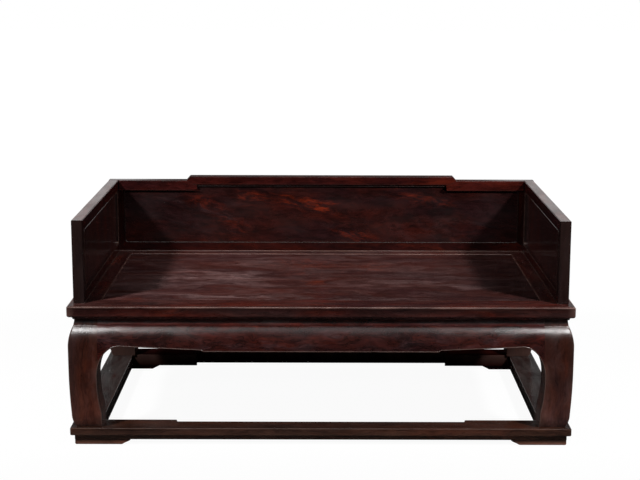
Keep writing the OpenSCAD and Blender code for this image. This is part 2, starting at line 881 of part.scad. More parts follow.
// Slots for the keys in a back stile: a dovetailed seat with an open mouth above it
module key_slots(left) {
    flip_x(left) for (level = key_levels) {
        translate([0, -eps, level - fit]) linear_extrude(key_height + 2 * fit)
            key_section(fit);
        box([key_x - key_head / 2, railing_front_face - eps, level + key_height],
            [key_x + key_head / 2, railing_front_face + key_depth, level + key_height + key_travel], fit);
    }
}

module corner_keys(left) {
    color(wood_dark) key_blocks(left);
}

foot(true, false);  // foot_front_left
foot(false, false);  // foot_front_right
foot(true, true);  // foot_back_left
foot(false, true);  // foot_back_right
stretcher("front");  // stretcher_front
stretcher("back");  // stretcher_back
stretcher("left");  // stretcher_left
stretcher("right");  // stretcher_right
leg(true, false);  // leg_front_left
leg(false, false);  // leg_front_right
leg(true, true);  // leg_back_left
leg(false, true);  // leg_back_right
apron("front");  // apron_front
apron("back");  // apron_back
apron("left");  // apron_left
apron("right");  // apron_right
waist("front");  // waist_front
waist("back");  // waist_back
waist("left");  // waist_left
waist("right");  // waist_right
seat_rail("front");  // seat_rail_front
seat_rail("back");  // seat_rail_back
seat_rail("left");  // seat_rail_left
seat_rail("right");  // seat_rail_right
seat_board(false);  // seat_board_front
seat_board(true);  // seat_board_back
batten(0);  // batten_1
batten(1);  // batten_2
batten(2);  // batten_3
batten(3);  // batten_4
back_top_rail_end(true);  // back_top_rail_left
back_top_rail_middle();
back_top_rail_end(false);  // back_top_rail_right
back_bottom_rail();
back_stile(true);  // back_stile_left
back_stile(false);  // back_stile_right
back_panel();
back_seat_tenons();
side_top_rail(true);  // left_top_rail
side_bottom_rail(true);  // left_bottom_rail
side_front_stile(true);  // left_front_stile
side_back_stile(true);  // left_back_stile
side_panel(true);  // left_panel
corner_keys(true);  // left_corner_keys
side_seat_tenons(true);  // left_seat_tenons
side_top_rail(false);  // right_top_rail
side_bottom_rail(false);  // right_bottom_rail
side_front_stile(false);  // right_front_stile
side_back_stile(false);  // right_back_stile
side_panel(false);  // right_panel
corner_keys(false);  // right_corner_keys
side_seat_tenons(false);  // right_seat_tenons
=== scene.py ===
import json
import math

import bmesh
import bpy
from mathutils import Matrix, Vector, noise

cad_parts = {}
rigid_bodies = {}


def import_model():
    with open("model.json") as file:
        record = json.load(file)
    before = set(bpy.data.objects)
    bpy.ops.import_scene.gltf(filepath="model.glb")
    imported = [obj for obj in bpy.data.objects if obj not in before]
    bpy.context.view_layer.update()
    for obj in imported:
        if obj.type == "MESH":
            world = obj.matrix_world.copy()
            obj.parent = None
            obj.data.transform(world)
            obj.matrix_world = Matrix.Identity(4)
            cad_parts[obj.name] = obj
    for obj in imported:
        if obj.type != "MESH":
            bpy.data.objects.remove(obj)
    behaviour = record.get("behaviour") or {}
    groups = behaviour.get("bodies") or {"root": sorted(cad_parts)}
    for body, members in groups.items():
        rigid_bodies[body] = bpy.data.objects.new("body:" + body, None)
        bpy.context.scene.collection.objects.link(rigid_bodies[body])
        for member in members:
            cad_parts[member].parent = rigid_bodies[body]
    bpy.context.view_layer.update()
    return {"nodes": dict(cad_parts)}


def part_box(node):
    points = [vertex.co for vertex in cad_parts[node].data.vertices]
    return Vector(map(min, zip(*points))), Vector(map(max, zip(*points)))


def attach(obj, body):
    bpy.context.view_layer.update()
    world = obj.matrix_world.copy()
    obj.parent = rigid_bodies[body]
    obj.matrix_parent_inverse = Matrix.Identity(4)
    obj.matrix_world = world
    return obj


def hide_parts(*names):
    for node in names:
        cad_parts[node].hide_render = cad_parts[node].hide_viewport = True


# Luohan daybed in waxed rosewood. Metres, Z up, the open front towards -Y.

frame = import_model()
print("frame loaded,", len(frame["nodes"]), "pieces of joinery")

edges = ("front", "back", "left", "right")
longEdges = ("front", "back")
bedCorners = [(f"{depth}_{side}", x, y) for depth, y in (("front", -1), ("back", 1))
              for side, x in (("left", -1), ("right", 1))]


# Places read from the joinery

def lowOf(node):
    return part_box(node)[0]


def highOf(node):
    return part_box(node)[1]


halfLength = highOf("seat_rail_right").x
halfDepth = highOf("seat_rail_back").y
seatTop = highOf("seat_rail_front").z
seatUnder = lowOf("seat_rail_right").z
railWidth = halfLength - lowOf("seat_rail_right").x
boardFront = lowOf("seat_board_front").y
boardBack = highOf("seat_board_back").y
boardTop = highOf("seat_board_front").z
boardUnder = lowOf("seat_board_front").z
waistEnd = highOf("waist_front").x
waistInset = lowOf("waist_front").y + halfDepth
waistDeep = highOf("waist_front").y - lowOf("waist_front").y
apronTop = highOf("apron_front").z
apronDeep = highOf("apron_front").y - lowOf("apron_front").y
shoulderLevel = lowOf("apron_front").z
legWidth = halfLength - waistEnd
hoofWidth = halfLength + highOf("leg_front_left").x
frameTop = highOf("stretcher_front").z
frameUnder = lowOf("stretcher_front").z
frameWidth = halfLength - lowOf("stretcher_right").x
backFace = lowOf("back_stile_left").y
backDeep = highOf("back_stile_left").y - backFace
backHalf = highOf("back_stile_right").x
backOpening = lowOf("back_stile_right").x
sideFace = lowOf("right_bottom_rail").x
sideFront = lowOf("right_bottom_rail").y
sideLength = highOf("right_bottom_rail").y - sideFront
railingTop = highOf("right_top_rail").z
openingTop = lowOf("right_top_rail").z
openingBottom = highOf("right_bottom_rail").z
middleTop = highOf("back_top_rail_middle").z
middleEnd = highOf("back_top_rail_middle").x
panelRecess = lowOf("back_panel").y - backFace
panelDeep = highOf("back_panel").y - lowOf("back_panel").y


# Small geometry helpers

def arcPoints(centre, radius, start, end, steps):
    turns = [math.radians(start + (end - start) * i / steps) for i in range(steps + 1)]
    return [(centre[0] + radius * math.cos(a), centre[1] + radius * math.sin(a)) for a in turns]


def arcInset(rise, drift, along):
    radius = (rise * rise + drift * drift) / (2 * drift)
    return radius - math.sqrt(max(radius * radius - along * along, 0.0))


def softStep(share):
    share = min(max(share, 0.0), 1.0)
    return share * share * (3 - 2 * share)


def blended(start, end, share):
    return start + (end - start) * softStep(share)


def spaced(start, end, gap):
    count = max(1, round(abs(end - start) / gap))
    return [start + (end - start) * i / count for i in range(count + 1)]


# Smooth noise along a line; every seed has a line of its own
def wobble(place, size, seed=0.0):
    return noise.noise(Vector((place / size + seed, seed * 3.1, 0.7)))


# A place on one of the four edges of the bed: along the edge, set back from its face, height
def edgePlace(edge):
    places = {
        "front": lambda s, inset, z: Vector((s, -halfDepth + inset, z)),
        "back": lambda s, inset, z: Vector((s, halfDepth - inset, z)),
        "left": lambda s, inset, z: Vector((-halfLength + inset, s, z)),
        "right": lambda s, inset, z: Vector((halfLength - inset, s, z)),
    }
    return places[edge]


# A place at one of the four corners: set back from the side, set back from the front or back, height
def cornerPlace(sideX, sideY):
    return lambda x, y, z: Vector((sideX * (halfLength - x), sideY * (halfDepth - y), z))


def edgeReach(edge):
    return halfLength if edge in longEdges else halfDepth


def edgeGrain(edge):
    return "x" if edge in longEdges else "y"


# Skins a row of rings with as many points each; a loop joins up with its start, any other row gets end faces
def addLoft(bm, rings, loop=False):
    rows = [[bm.verts.new(point) for point in ring] for ring in rings]
    count = len(rows[0])
    for before, after in zip(rows, rows[1:] + rows[:1] if loop else rows[1:]):
        for i in range(count):
            j = (i + 1) % count
            bm.faces.new((before[i], before[j], after[j], after[i]))
    if not loop:
        bm.faces.new(rows[0][::-1])
        bm.faces.new(rows[-1])


nearlyStraight = 0.05
filletSteps = 5


# Moves each edge of an outline inwards by its own distance; the outline runs anticlockwise
def insetOutline(points, distances):
    moved = []
    for i, point in enumerate(points):
        before, after = points[i - 1], points[(i + 1) % len(points)]
        first = Vector((point[0] - before[0], point[1] - before[1])).normalized()
        second = Vector((after[0] - point[0], after[1] - point[1])).normalized()
        normalA, normalB = Vector((-first.y, first.x)), Vector((-second.y, second.x))
        a, b = distances[i - 1], distances[i]
        turn = normalA.x * normalB.y - normalA.y * normalB.x
        if abs(turn) < nearlyStraight:
            shift = (normalA * a + normalB * b) / 2
        else:
            shift = Vector((a * normalB.y - b * normalA.y, b * normalA.x - a * normalB.x)) / turn
        moved.append((point[0] + shift.x, point[1] + shift.y))
    return moved


# The round that fills a corner, from the side towards one neighbour to the side towards the other
def filletPoints(here, first, second, radius):
    here = Vector(here)
    wayA, wayB = (Vector(point) - here for point in (first, second))
    half = wayA.angle(wayB) / 2
    wayA.normalize()
    wayB.normalize()
    reach = radius / math.tan(half)
    centre = here + (wayA + wayB).normalized() * radius / math.sin(half)
    start, end = (here + way * reach - centre for way in (wayA, wayB))
    spokes = [start.lerp(end, k / filletSteps).normalized() * radius for k in range(filletSteps + 1)]
    return [tuple(centre + spoke) for spoke in spokes]


# Corners are (along, height, rounding of the edge that starts here), then the radius if there is a fillet
def filletOutline(outline, gap):
    points, rims = [], []
    for i, (x, z, rim, *fillet) in enumerate(outline):
        last, after = outline[i - 1], outline[(i + 1) % len(outline)]
        rounded = filletPoints((x, z), last[:2], after[:2], fillet[0]) if fillet else [(x, z)]
        points += rounded
        rims += [rim if k in (0, len(rounded) - 1) else min(rim, last[2]) for k in range(len(rounded))]
    finePoints, fineRims = [], []
    for i, point in enumerate(points):
        after = points[(i + 1) % len(points)]
        count = max(1, round(math.dist(point, after) / gap))
        finePoints += [tuple(a + (b - a) * (k / count) for a, b in zip(point, after)) for k in range(count)]
        fineRims += [rims[i]] * count
    return finePoints, fineRims


slab = {"gap": 0.06, "flatBand": 0.0025, "wearLength": 0.09}


# A board cut to an outline, with rounded rims; place() puts (along, inset, height) in the frame
def addSlab(bm, outline, place, near, far, wear=0.0, gap=slab["gap"], farRims=1.0):
    points, rims = filletOutline(outline, gap)
    worn = [rim * (1 + wear * wobble(p[0] + p[1], slab["wearLength"], near)) for rim, p in zip(rims, points)]
    rings = []
    for end, sign, share in ((near, 1, 1.0), (far, -1, farRims)):
        flat = insetOutline(points, [w * share + slab["flatBand"] for w in worn])
        arris = [[place(x, end, z) for x, z in flat]]
        for turn in (0, 30, 60, 90):
            a = math.radians(turn)
            depth = end + sign * max(rims) * share * (1 - math.cos(a))
            line = insetOutline(points, [w * share * (1 - math.sin(a)) for w in worn])
            arris.append([place(x, depth, z) for x, z in line])
        rings += arris if sign > 0 else arris[::-1]
    addLoft(bm, rings)


beadLook = {
    "width": 0.0034,
    "height": 0.0012,
    "root": 0.0008,
    "profile": ((0.0, 0.35), (0.16, 0.8), (0.38, 1.0), (0.62, 1.0), (0.84, 0.8), (1.0, 0.3)),
    "cornerRadius": 0.010,
    "gap": 0.08,
    "footWidth": 0.0036,
    "footHeight": 0.0016,
    "footGap": 0.06,
    "clear": 0.0002,
    "tuck": 0.001,
    "tone": 0.60,
    # The stile and rail tones paint shade on the back bead under its rails; the foot tone is a painted
    # highlight line on the seat
    "stileTone": 0.08,
    "railTone": 0.20,
    "footTone": 1.1,
    "sideTone": 0.62,
}


# A fine raised bead on a face: the path is (along, height, inset of the face), its left side is wood
def addBead(bm, path, place, loop=False, wide=beadLook["width"], tall=beadLook["height"]):
    root = -beadLook["root"]
    section = [(0.0, root)] + [(wide * a, tall * b) for a, b in beadLook["profile"]] + [(wide, root)]
    rings = []
    for i, (s, z, face) in enumerate(path):
        before = path[i - 1] if (loop or i) else path[i]
        after = path[(i + 1) % len(path)] if (loop or i < len(path) - 1) else path[i]
        way = Vector((after[0] - before[0], after[1] - before[1])).normalized()
        side = Vector((-way.y, way.x))
        rings.append([place(s + side.x * a, face - b, z + side.y * a) for a, b in section])
    addLoft(bm, rings, loop)


# Rosewood

# Sets a socket, or links it where the value is another node's output; colours come as three numbers
def plug(tree, socket, value):
    if isinstance(value, bpy.types.NodeSocket):
        tree.links.new(value, socket)
    else:
        socket.default_value = (*value, 1.0) if socket.type == "RGBA" else value


def addNode(tree, kind, inputs, **settings):
    made = tree.nodes.new("ShaderNode" + kind)
    for name, value in settings.items():
        setattr(made, name, value)
    for socket, value in inputs.items():
        plug(tree, made.inputs[socket], value)
    return made


def mathOf(tree, operation, a, b=0.0, clamp=False):
    return addNode(tree, "Math", {0: a, 1: b}, operation=operation, use_clamp=clamp).outputs[0]


def vectorOf(tree, operation, a, b=(0.0, 0.0, 0.0)):
    return addNode(tree, "VectorMath", {0: a, 1: b}, operation=operation)


def rangeOf(tree, value, low, high, toLow=0.0, toHigh=1.0):
    inputs = {"Value": value, "From Min": low, "From Max": high, "To Min": toLow, "To Max": toHigh}
    return addNode(tree, "MapRange", inputs, interpolation_type="SMOOTHSTEP").outputs["Result"]


def mixOf(tree, factor, a, b):
    return addNode(tree, "Mix", {0: factor, 6: a, 7: b}, data_type="RGBA").outputs[2]


# Measures a place from a middle, turned by some degrees and in units of the given sizes
def stretched(tree, vector, sizes, turn=0.0, middle=(0.0, 0.0, 0.0)):
    inputs = {"Vector": vector, "Location": middle, "Scale": sizes,
              "Rotation": (0.0, math.radians(turn), math.radians(turn))}
    return addNode(tree, "Mapping", inputs, vector_type="TEXTURE").outputs["Vector"]


# Patterns in the wood: repeats per metre along and across the grain, detail and roughness of the noise, and
# a place of its own in it where two patterns would otherwise look alike
patterns = {
    "drift": (2.2, 5, 4, 0.55),
    "broad": (1.8, 8, 4, 0.6),
    "smoke": (5, 22, 5, 0.62),
    "streaks": (6, 170, 4, 0.6),
    "mottle": (26, 70, 4, 0.65),
    "pores": (30, 1100, 2, 0.5),
    "wisps": (5, 26, 5, 0.6, (3.1, 0.4, 1.7)),
    "strokes": (4.5, 50, 5, 0.65),
    "clouds": (2.6, 9, 3, 0.5, (1.3, 2.1, 0.9)),
    "veins": (1.6, 34, 4, 0.6, (0.7, 1.9, 2.3)),
    "rub": (6, 14, 4, 0.6),
    "hollows": (5, 11, 2, 0.5),
}
# Where the effect of a pattern sets in and where it is full
setsIn = {
    "brown": (0.38, 0.60),
    "red": (0.54, 0.76),
    "clouds": (0.50, 0.74),
    "strokes": (0.42, 0.70),
    "light": (1.30, 2.20),
    "veins": (0.0, 0.035),
    "rub": (0.3, 0.7),
    "ellipse": (1.0, 0.2),
}


def patternOf(tree, vector, kind, turn=0.0, repeats=None):
    along, across, detail, roughness, *middle = patterns[kind]
    along, across = repeats or (along, across)
    spot = stretched(tree, vector, (1 / along, 1 / across, 1 / across), turn, *middle)
    inputs = {"Vector": spot, "Scale": 1.0, "Detail": detail, "Roughness": roughness}
    return addNode(tree, "TexNoise", inputs).outputs[0]


# The strongest of an even amount and soft ellipses, which have a middle, radii, a tilt and a strength
def patchesOf(tree, vector, amount, ellipses):
    for middle, radii, tilt, strength in ellipses:
        away = vectorOf(tree, "LENGTH", stretched(tree, vector, radii, tilt, middle)).outputs["Value"]
        ellipse = rangeOf(tree, away, *setsIn["ellipse"], 0.0, strength)
        amount = mathOf(tree, "MAXIMUM", amount, ellipse)
    return amount


# A scale of None keeps the pattern's own repeats
rosewoodLook = {
    "purple": (0.0195, 0.0048, 0.0051),
    "brown": (0.029, 0.0052, 0.004),
    "red": (0.056, 0.007, 0.0036),
    "flame": (0.26, 0.034, 0.008),
    "veins": (0.005, 0.0018, 0.002),
    "bloom": (0.075, 0.045, 0.048),
    # The colour of paler rounded edges: wear, and a painted highlight
    "worn": (0.21, 0.115, 0.095),
    "warmth": 0.0,
    "redAmount": 0.7,
    "flameAmount": 0.3,
    "flameShare": 0.6,
    "veinAmount": 0.45,
    "bloomAmount": 0.12,
    "bloomScale": None,
    "bloomRange": (0.47, 0.72),
    "smokeScale": None,
    "smokeShare": 1.7,
    "fineShare": 0.9,
    "slant": 0.0,
    "wander": 0.13,
    "wanderAlong": 0.6,
    "lightDepth": 0.4,
    "contrast": 1.0,
    "roughness": (0.2, 0.34),
    "grooves": 0.22,
    "grooveDepth": 0.0002,
    "hollows": 0.4,
    "hollowDepth": 0.0012,
    "specular": 0.5,
    "patches": [],
    "mists": [],
}


def makeRosewood(name, **changes):
    look = {**rosewoodLook, **changes}
    material = bpy.data.materials.new(name)
    material.use_nodes = True
    tree = material.node_tree
    shader = tree.nodes["Principled BSDF"]
    grain, tone, worn = (addNode(tree, "Attribute", {}, attribute_name=attribute).outputs[output]
                         for attribute, output in (("grain", "Vector"), ("tone", "Fac"), ("worn", "Fac")))

    # The grain wanders: a drift bends every finer pattern
    drift = patternOf(tree, grain, "drift").node.outputs["Color"]
    centred = vectorOf(tree, "SUBTRACT", drift, (0.5, 0.5, 0.5)).outputs[0]
    wander = (look["wander"] * look["wanderAlong"], look["wander"], look["wander"])
    bend = vectorOf(tree, "MULTIPLY_ADD", centred, wander)
    plug(tree, bend.inputs[2], grain)
    bent = bend.outputs[0]

    # Purple heartwood turning brown and red with the broad figure
    broad = patternOf(tree, bent, "broad")
    brown, red = ([limit - look["warmth"] for limit in setsIn[kind]] for kind in ("brown", "red"))
    colour = mixOf(tree, rangeOf(tree, broad, *brown), look["purple"], look["brown"])
    colour = mixOf(tree, rangeOf(tree, broad, *red, 0.0, look["redAmount"]), colour, look["red"])

    # A pale bloom lies over it in wisps: worn wax in most woods, and a painted sheen where a look makes it
    # strong and grey
    wisps = patternOf(tree, bent, "wisps", look["slant"], look["bloomScale"])
    mist = patchesOf(tree, bent, look["bloomAmount"], look["mists"])
    bloom = mathOf(tree, "MULTIPLY", rangeOf(tree, wisps, *look["bloomRange"]), mist)
    colour = mixOf(tree, bloom, colour, look["bloom"])

    # Flame figure in short slanted strokes
    strokes = patternOf(tree, bent, "strokes", look["slant"])
    clouds = rangeOf(tree, patternOf(tree, bent, "clouds"), *setsIn["clouds"])
    figure = mathOf(tree, "MULTIPLY", clouds, look["flameAmount"])
    figure = patchesOf(tree, bent, figure, look["patches"])
    flame = mathOf(tree, "MULTIPLY", rangeOf(tree, strokes, *setsIn["strokes"]), figure, clamp=True)
    colour = mixOf(tree, mathOf(tree, "MULTIPLY", flame, look["flameShare"]), colour, look["flame"])

    # Lighter and darker clouds, fine streaks and mottling
    smoke = patternOf(tree, bent, "smoke", look["slant"], look["smokeScale"])
    streaks = patternOf(tree, bent, "streaks")
    light = mathOf(tree, "ADD", mathOf(tree, "MULTIPLY", smoke, look["smokeShare"]),
                   mathOf(tree, "MULTIPLY", streaks, look["fineShare"]))
    mottle = mathOf(tree, "MULTIPLY", patternOf(tree, bent, "mottle"), look["fineShare"])
    depth = look["lightDepth"] * look["contrast"]
    light = rangeOf(tree, mathOf(tree, "ADD", light, mottle), *setsIn["light"], 1 - depth, 1 + depth)
    lit = vectorOf(tree, "SCALE", colour)
    plug(tree, lit.inputs["Scale"], mathOf(tree, "MULTIPLY", light, tone))

    # Dark veins, and paler wood along rounded edges: wear, and a painted highlight on the arris
    apart = mathOf(tree, "ABSOLUTE", mathOf(tree, "SUBTRACT", patternOf(tree, bent, "veins"), 0.5))
    veins = rangeOf(tree, apart, *setsIn["veins"], look["veinAmount"], 0.0)
    colour = mixOf(tree, veins, lit.outputs[0], look["veins"])
    plug(tree, shader.inputs["Base Color"], mixOf(tree, worn, colour, look["worn"]))

    # Wax, rubbed thin in places
    rub = rangeOf(tree, patternOf(tree, grain, "rub"), *setsIn["rub"], *look["roughness"])
    plug(tree, shader.inputs["Roughness"], rub)
    shader.inputs["Specular IOR Level"].default_value = look["specular"]

    # Pores and the slight hollows of old handwork
    fine = mathOf(tree, "ADD", patternOf(tree, grain, "pores"), streaks)
    grooves = {"Strength": look["grooves"], "Distance": look["grooveDepth"], "Height": fine}
    hollows = {"Strength": look["hollows"], "Distance": look["hollowDepth"],
               "Height": patternOf(tree, grain, "hollows"),
               "Normal": addNode(tree, "Bump", grooves).outputs[0]}
    plug(tree, shader.inputs["Normal"], addNode(tree, "Bump", hollows).outputs[0])
    return material


# Ellipses in the plane of the back panel: place and radii along and up, tilt, strength
def onPanel(*ellipses):
    depth, through = backFace + panelRecess + panelDeep / 2, 0.10
    return [((x, depth, z), (wide, through, tall), tilt, strength)
            for x, z, wide, tall, tilt, strength in ellipses]


# Ellipses in the plane of the seat boards: place and radii along and across, strength
def onSeat(*ellipses):
    level, through = (boardUnder + boardTop) / 2, 0.30
    return [((x, y, level), (wide, deep, through), 0, strength) for x, y, wide, deep, strength in ellipses]


frameWood = makeRosewood("rosewoodFrame", warmth=0.03)
seatRailWood = makeRosewood("rosewoodSeatRails", warmth=0.03, bloomAmount=0.38, bloomScale=(2.6, 18),
                            bloomRange=(0.36, 0.66), bloom=(0.04, 0.023, 0.021))
railWood = makeRosewood("rosewoodRails", warmth=0.05, bloomAmount=0.0, contrast=1.3, roughness=(0.13, 0.2),
                        grooves=0.12, hollows=0.15, purple=(0.023, 0.0046, 0.0046),
                        brown=(0.035, 0.005, 0.0036))
stileWood = makeRosewood("rosewoodStiles", redAmount=0.0, flameAmount=0.0, veinAmount=0.2, bloomAmount=0.2,
                         purple=(0.017, 0.0068, 0.0068), brown=(0.022, 0.0078, 0.007))
sideWood = makeRosewood("rosewoodSidePanels", contrast=0.5, veinAmount=0.0, flameAmount=0.1,
                        roughness=(0.13, 0.22), purple=(0.024, 0.0104, 0.0106),
                        brown=(0.033, 0.0108, 0.0094))
legWood = makeRosewood("rosewoodLegs", roughness=(0.15, 0.26), veinAmount=0.2, grooves=0.1, bloomAmount=0.25,
                       bloomScale=(9, 14), flameAmount=0.25, purple=(0.027, 0.0105, 0.0095),
                       brown=(0.042, 0.0125, 0.008), red=(0.065, 0.013, 0.006), bloom=(0.08, 0.046, 0.045))
apronWood = makeRosewood("rosewoodAprons", roughness=(0.14, 0.25), contrast=1.6, veinAmount=0.3, grooves=0.1,
                         wander=0.3, warmth=0.03, bloomAmount=0.3, bloomScale=(5, 20), smokeScale=(4, 24),
                         flameAmount=0.25, purple=(0.0245, 0.0082, 0.0086), brown=(0.0345, 0.008, 0.0064),
                         red=(0.075, 0.009, 0.0055), bloom=(0.085, 0.05, 0.055))
floorWood = makeRosewood("rosewoodFloorFrame", roughness=(0.14, 0.22), flameAmount=0.08,
                         purple=(0.028, 0.012, 0.0085), brown=(0.038, 0.014, 0.0085),
                         red=(0.048, 0.012, 0.0065), bloom=(0.06, 0.036, 0.029), worn=(0.13, 0.075, 0.052))
# The side stretchers' strong grey bloom is a painted sheen
sideFloorWood = makeRosewood("rosewoodFloorSides", roughness=(0.14, 0.22), flameAmount=0.0, bloomAmount=0.75,
                             bloomRange=(0.28, 0.6), bloom=(0.066, 0.058, 0.055))
dullWood = makeRosewood("rosewoodUnwaxed", roughness=(0.8, 0.9), specular=0.0, flameAmount=0.0,
                        bloomAmount=0.05)
plainWood = makeRosewood("rosewoodPlain", flameAmount=0.1, roughness=(0.38, 0.55))
# Beads are painted pale so that they show as thin bright lines: wear on the bead, and a painted highlight
beadWood = makeRosewood("rosewoodBeadWearAndHighlight", purple=(0.11, 0.062, 0.055), brown=(0.125, 0.066, 0.052),
                        red=(0.15, 0.06, 0.04), contrast=0.7, veinAmount=0.0, flameAmount=0.0)
panelWood = makeRosewood(
    "rosewoodBackPanel", flameAmount=0.25, veinAmount=0.25, wander=0.16, grooves=0.12, slant=14,
    bloomAmount=0.02, bloomScale=(4, 20), smokeScale=(4, 30), contrast=1.3,
    purple=(0.0195, 0.0054, 0.006), flame=(0.29, 0.029, 0.006),
    mists=onPanel((-0.56, 0.70, 0.34, 0.15, 0, 0.34), (0.56, 0.66, 0.40, 0.11, 0, 0.26)),
    patches=onPanel(
        (-0.19, 0.778, 0.30, 0.045, 9, 0.95),
        (-0.03, 0.757, 0.17, 0.040, 14, 1.6),
        (-0.52, 0.762, 0.14, 0.045, 12, 0.5),
        (-0.40, 0.670, 0.18, 0.045, 25, 0.35),
        (0.47, 0.762, 0.22, 0.045, 10, 0.7),
        (0.14, 0.625, 0.16, 0.040, 8, 0.9)))
# The seat's pale mists are partly worn wax and partly a painted sheen, strongest along the front
seatWood = makeRosewood(
    "rosewoodSeatBoards", flameAmount=0.12, veinAmount=0.15, wander=0.45, grooves=0.12,
    purple=(0.044, 0.015, 0.0148), brown=(0.056, 0.0155, 0.0125), bloom=(0.21, 0.129, 0.125),
    bloomAmount=0.36, bloomScale=(2.3, 11), bloomRange=(0.37, 0.77), smokeScale=(4, 18),
    roughness=(0.16, 0.26),
    mists=onSeat(
        (-0.45, -0.05, 0.45, 0.50, 0.78),
        (0.45, -0.10, 0.40, 0.40, 0.60),
        (0.0, -0.42, 0.90, 0.18, 1.0)),
    patches=onSeat(
        (-0.04, 0.20, 0.24, 0.22, 0.7),
        (0.20, 0.15, 0.16, 0.16, 0.5),
        (-0.05, -0.10, 0.05, 0.08, 1.0)))
print("rosewood mixed")


grainTurns = {"x": (0, 1, 2), "y": (1, 0, 2), "z": (2, 0, 1)}
seedSteps = ((1.37, 7.0), (0.73, 3.0), (0.59, 3.0))
pieceCount = 0
shading = {"sharpAngle": math.radians(42), "flatWeight": 60}
wearAndHighlightLook = {
    "share": 0.22,
    "rubbed": 0.7,
    "patchy": 0.8,
    "patchSize": 0.05,
    "fullTurn": math.radians(16),
    "narrowest": 0.0003,
    "widest": 0.0020,
}


# Rounded edges are painted paler, as wear and as a painted highlight along the arris, more in some places
# than in others
def wearAndHighlightOfEdges(bm, share):
    shares = []
    for vertex in bm.verts:
        turn = 0.0
        for edge in vertex.link_edges:
            if len(edge.link_faces) == 2:
                narrow = min(face.calc_area() / max(edge.calc_length(), 1e-6) for face in edge.link_faces)
                if wearAndHighlightLook["narrowest"] < narrow < wearAndHighlightLook["widest"]:
                    turn = max(turn, edge.calc_face_angle_signed())
        rubbed = wearAndHighlightLook["rubbed"] + wearAndHighlightLook["patchy"] * noise.noise(vertex.co / wearAndHighlightLook["patchSize"])
        shares.append(min(share * max(rubbed, 0.0) * min(turn / wearAndHighlightLook["fullTurn"], 1.0), 1.0))
    return shares


# Each vertex carries its place along and across the grain of its own board
def writeGrain(mesh, along, seed, tone, wear=()):
    order = grainTurns[along]
    shift = [seed * step % wrap for step, wrap in seedSteps]
    places = [vertex.co[order[k]] + shift[k] for vertex in mesh.vertices for k in range(3)]
    mesh.attributes.new("grain", "FLOAT_VECTOR", "POINT").data.foreach_set("vector", places)
    tones = [tone(vertex.co) if callable(tone) else tone for vertex in mesh.vertices]
    mesh.attributes.new("tone", "FLOAT", "POINT").data.foreach_set("value", tones)
    mesh.attributes.new("worn", "FLOAT", "POINT").data.foreach_set("value", wear or [0.0] * len(tones))


# Turns a mesh into a piece, which may stand for nodes of the joinery
def makePiece(name, bm, wood, along, tone, body="base", slot="rosewood_frame", stands=(), seed=None,
              wornShare=wearAndHighlightLook["share"]):
    global pieceCount
    pieceCount += 1
    bmesh.ops.recalc_face_normals(bm, faces=bm.faces)
    wear = wearAndHighlightOfEdges(bm, wornShare)
    for edge in bm.edges:
        edge.smooth = len(edge.link_faces) == 2 and edge.calc_face_angle() < shading["sharpAngle"]
    for face in bm.faces:
        face.smooth = True
    mesh = bpy.data.meshes.new(name)
    bm.to_mesh(mesh)
    bm.free()
    writeGrain(mesh, along, pieceCount if seed is None else seed, tone, wear)
    mesh.materials.append(wood)
    piece = bpy.data.objects.new(name, mesh)
    bpy.context.scene.collection.objects.link(piece)
    weighted = piece.modifiers.new("faceNormals", "WEIGHTED_NORMAL")
    weighted.weight = shading["flatWeight"]
    weighted.keep_sharp = True
    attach(piece, body)
    if stands:
        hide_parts(*stands)


# A piece that stands for one node
def makeWood(node, bm, wood, along, tone, body="base", slot="rosewood_frame", **settings):
    makePiece(node + ".wood", bm, wood, along, tone, body, slot, (node,), **settings)


# Waist

# The waist's high tone is painted light on a face that lies in the seat rail's shade
waist = {"flare": 0.0026, "flareShare": 0.75, "seam": 0.0003, "levelGap": 0.003, "ringGap": 0.05, "tone": 2.3}


# How far the waist and the neck of a leg spread towards the shoulder below
def waistFlare(z):
    share = (z - apronTop) / (seatUnder - apronTop) / waist["flareShare"]
    return waist["flare"] * (1 - softStep(share))


def makeWaist(edge):
    bm = bmesh.new()
    end = edgeReach(edge) - legWidth - waist["seam"]
    back = waistInset + waistDeep
    section = [(waistInset - waistFlare(z), z) for z in spaced(apronTop, seatUnder, waist["levelGap"])]
    section += [(back, seatUnder), (back, apronTop)]
    place = edgePlace(edge)
    addLoft(bm, [[place(s, inset, z) for inset, z in section] for s in spaced(-end, end, waist["ringGap"])])
    makeWood("waist_" + edge, bm, frameWood, edgeGrain(edge), waist["tone"])


for edge in edges:
    makeWaist(edge)


# Legs

leg = {
    "bulgeInset": 0.020,
    "bulgeHeight": 0.082,
    "shinHeight": 0.234,
    "ankleHeight": 0.054,
    "ankleInset": 0.006,
    "toeInset": 0.020,
    "slimWidth": 0.107,
    "flareHeight": 0.184,
    "hoofHeight": 0.059,
    "faceBack": 0.0009,
    "crown": 0.0008,
    "cornerRound": 0.0055,
    "edgeRound": 0.0012,
    "jointRound": 0.0003,
    "innerRound": 0.005,
    "seam": 0.0006,
    "soleLip": 0.001,
    "soleLevel": 0.004,
    "shoulderStep": 0.0008,
    "neckBelow": 0.001,
    "neckAbove": 0.0002,
    "beadHeight": 0.0008,
    "beadFoot": 0.002,
    "beadGap": 0.006,
    "tone": 1.0,
    "footTone": 1.9,
    "insideShadeTone": 0.2,
}
legRingGap = {"hoof": 0.008, "shin": 0.014, "bracket": 0.007,
              "shoulder": 0.012, "bulge": 0.005, "neck": 0.003}
bracket = {"width": 0.086, "height": 0.119}
apron = {
    "height": 0.097,
    "middle": 0.904,
    "step": 0.006,
    "rise": 0.014,
    "faceBack": 0.0009,
    "topRound": 0.0012,
    "edgeRound": 0.0010,
    "seam": 0.0002,
    "levels": 16,
    "ringGap": 0.035,
    "stepGap": 0.003,
    "bracketTurns": range(6, 58, 4),
    "bracketClear": 0.0005,
    "tone": 1.12,
}
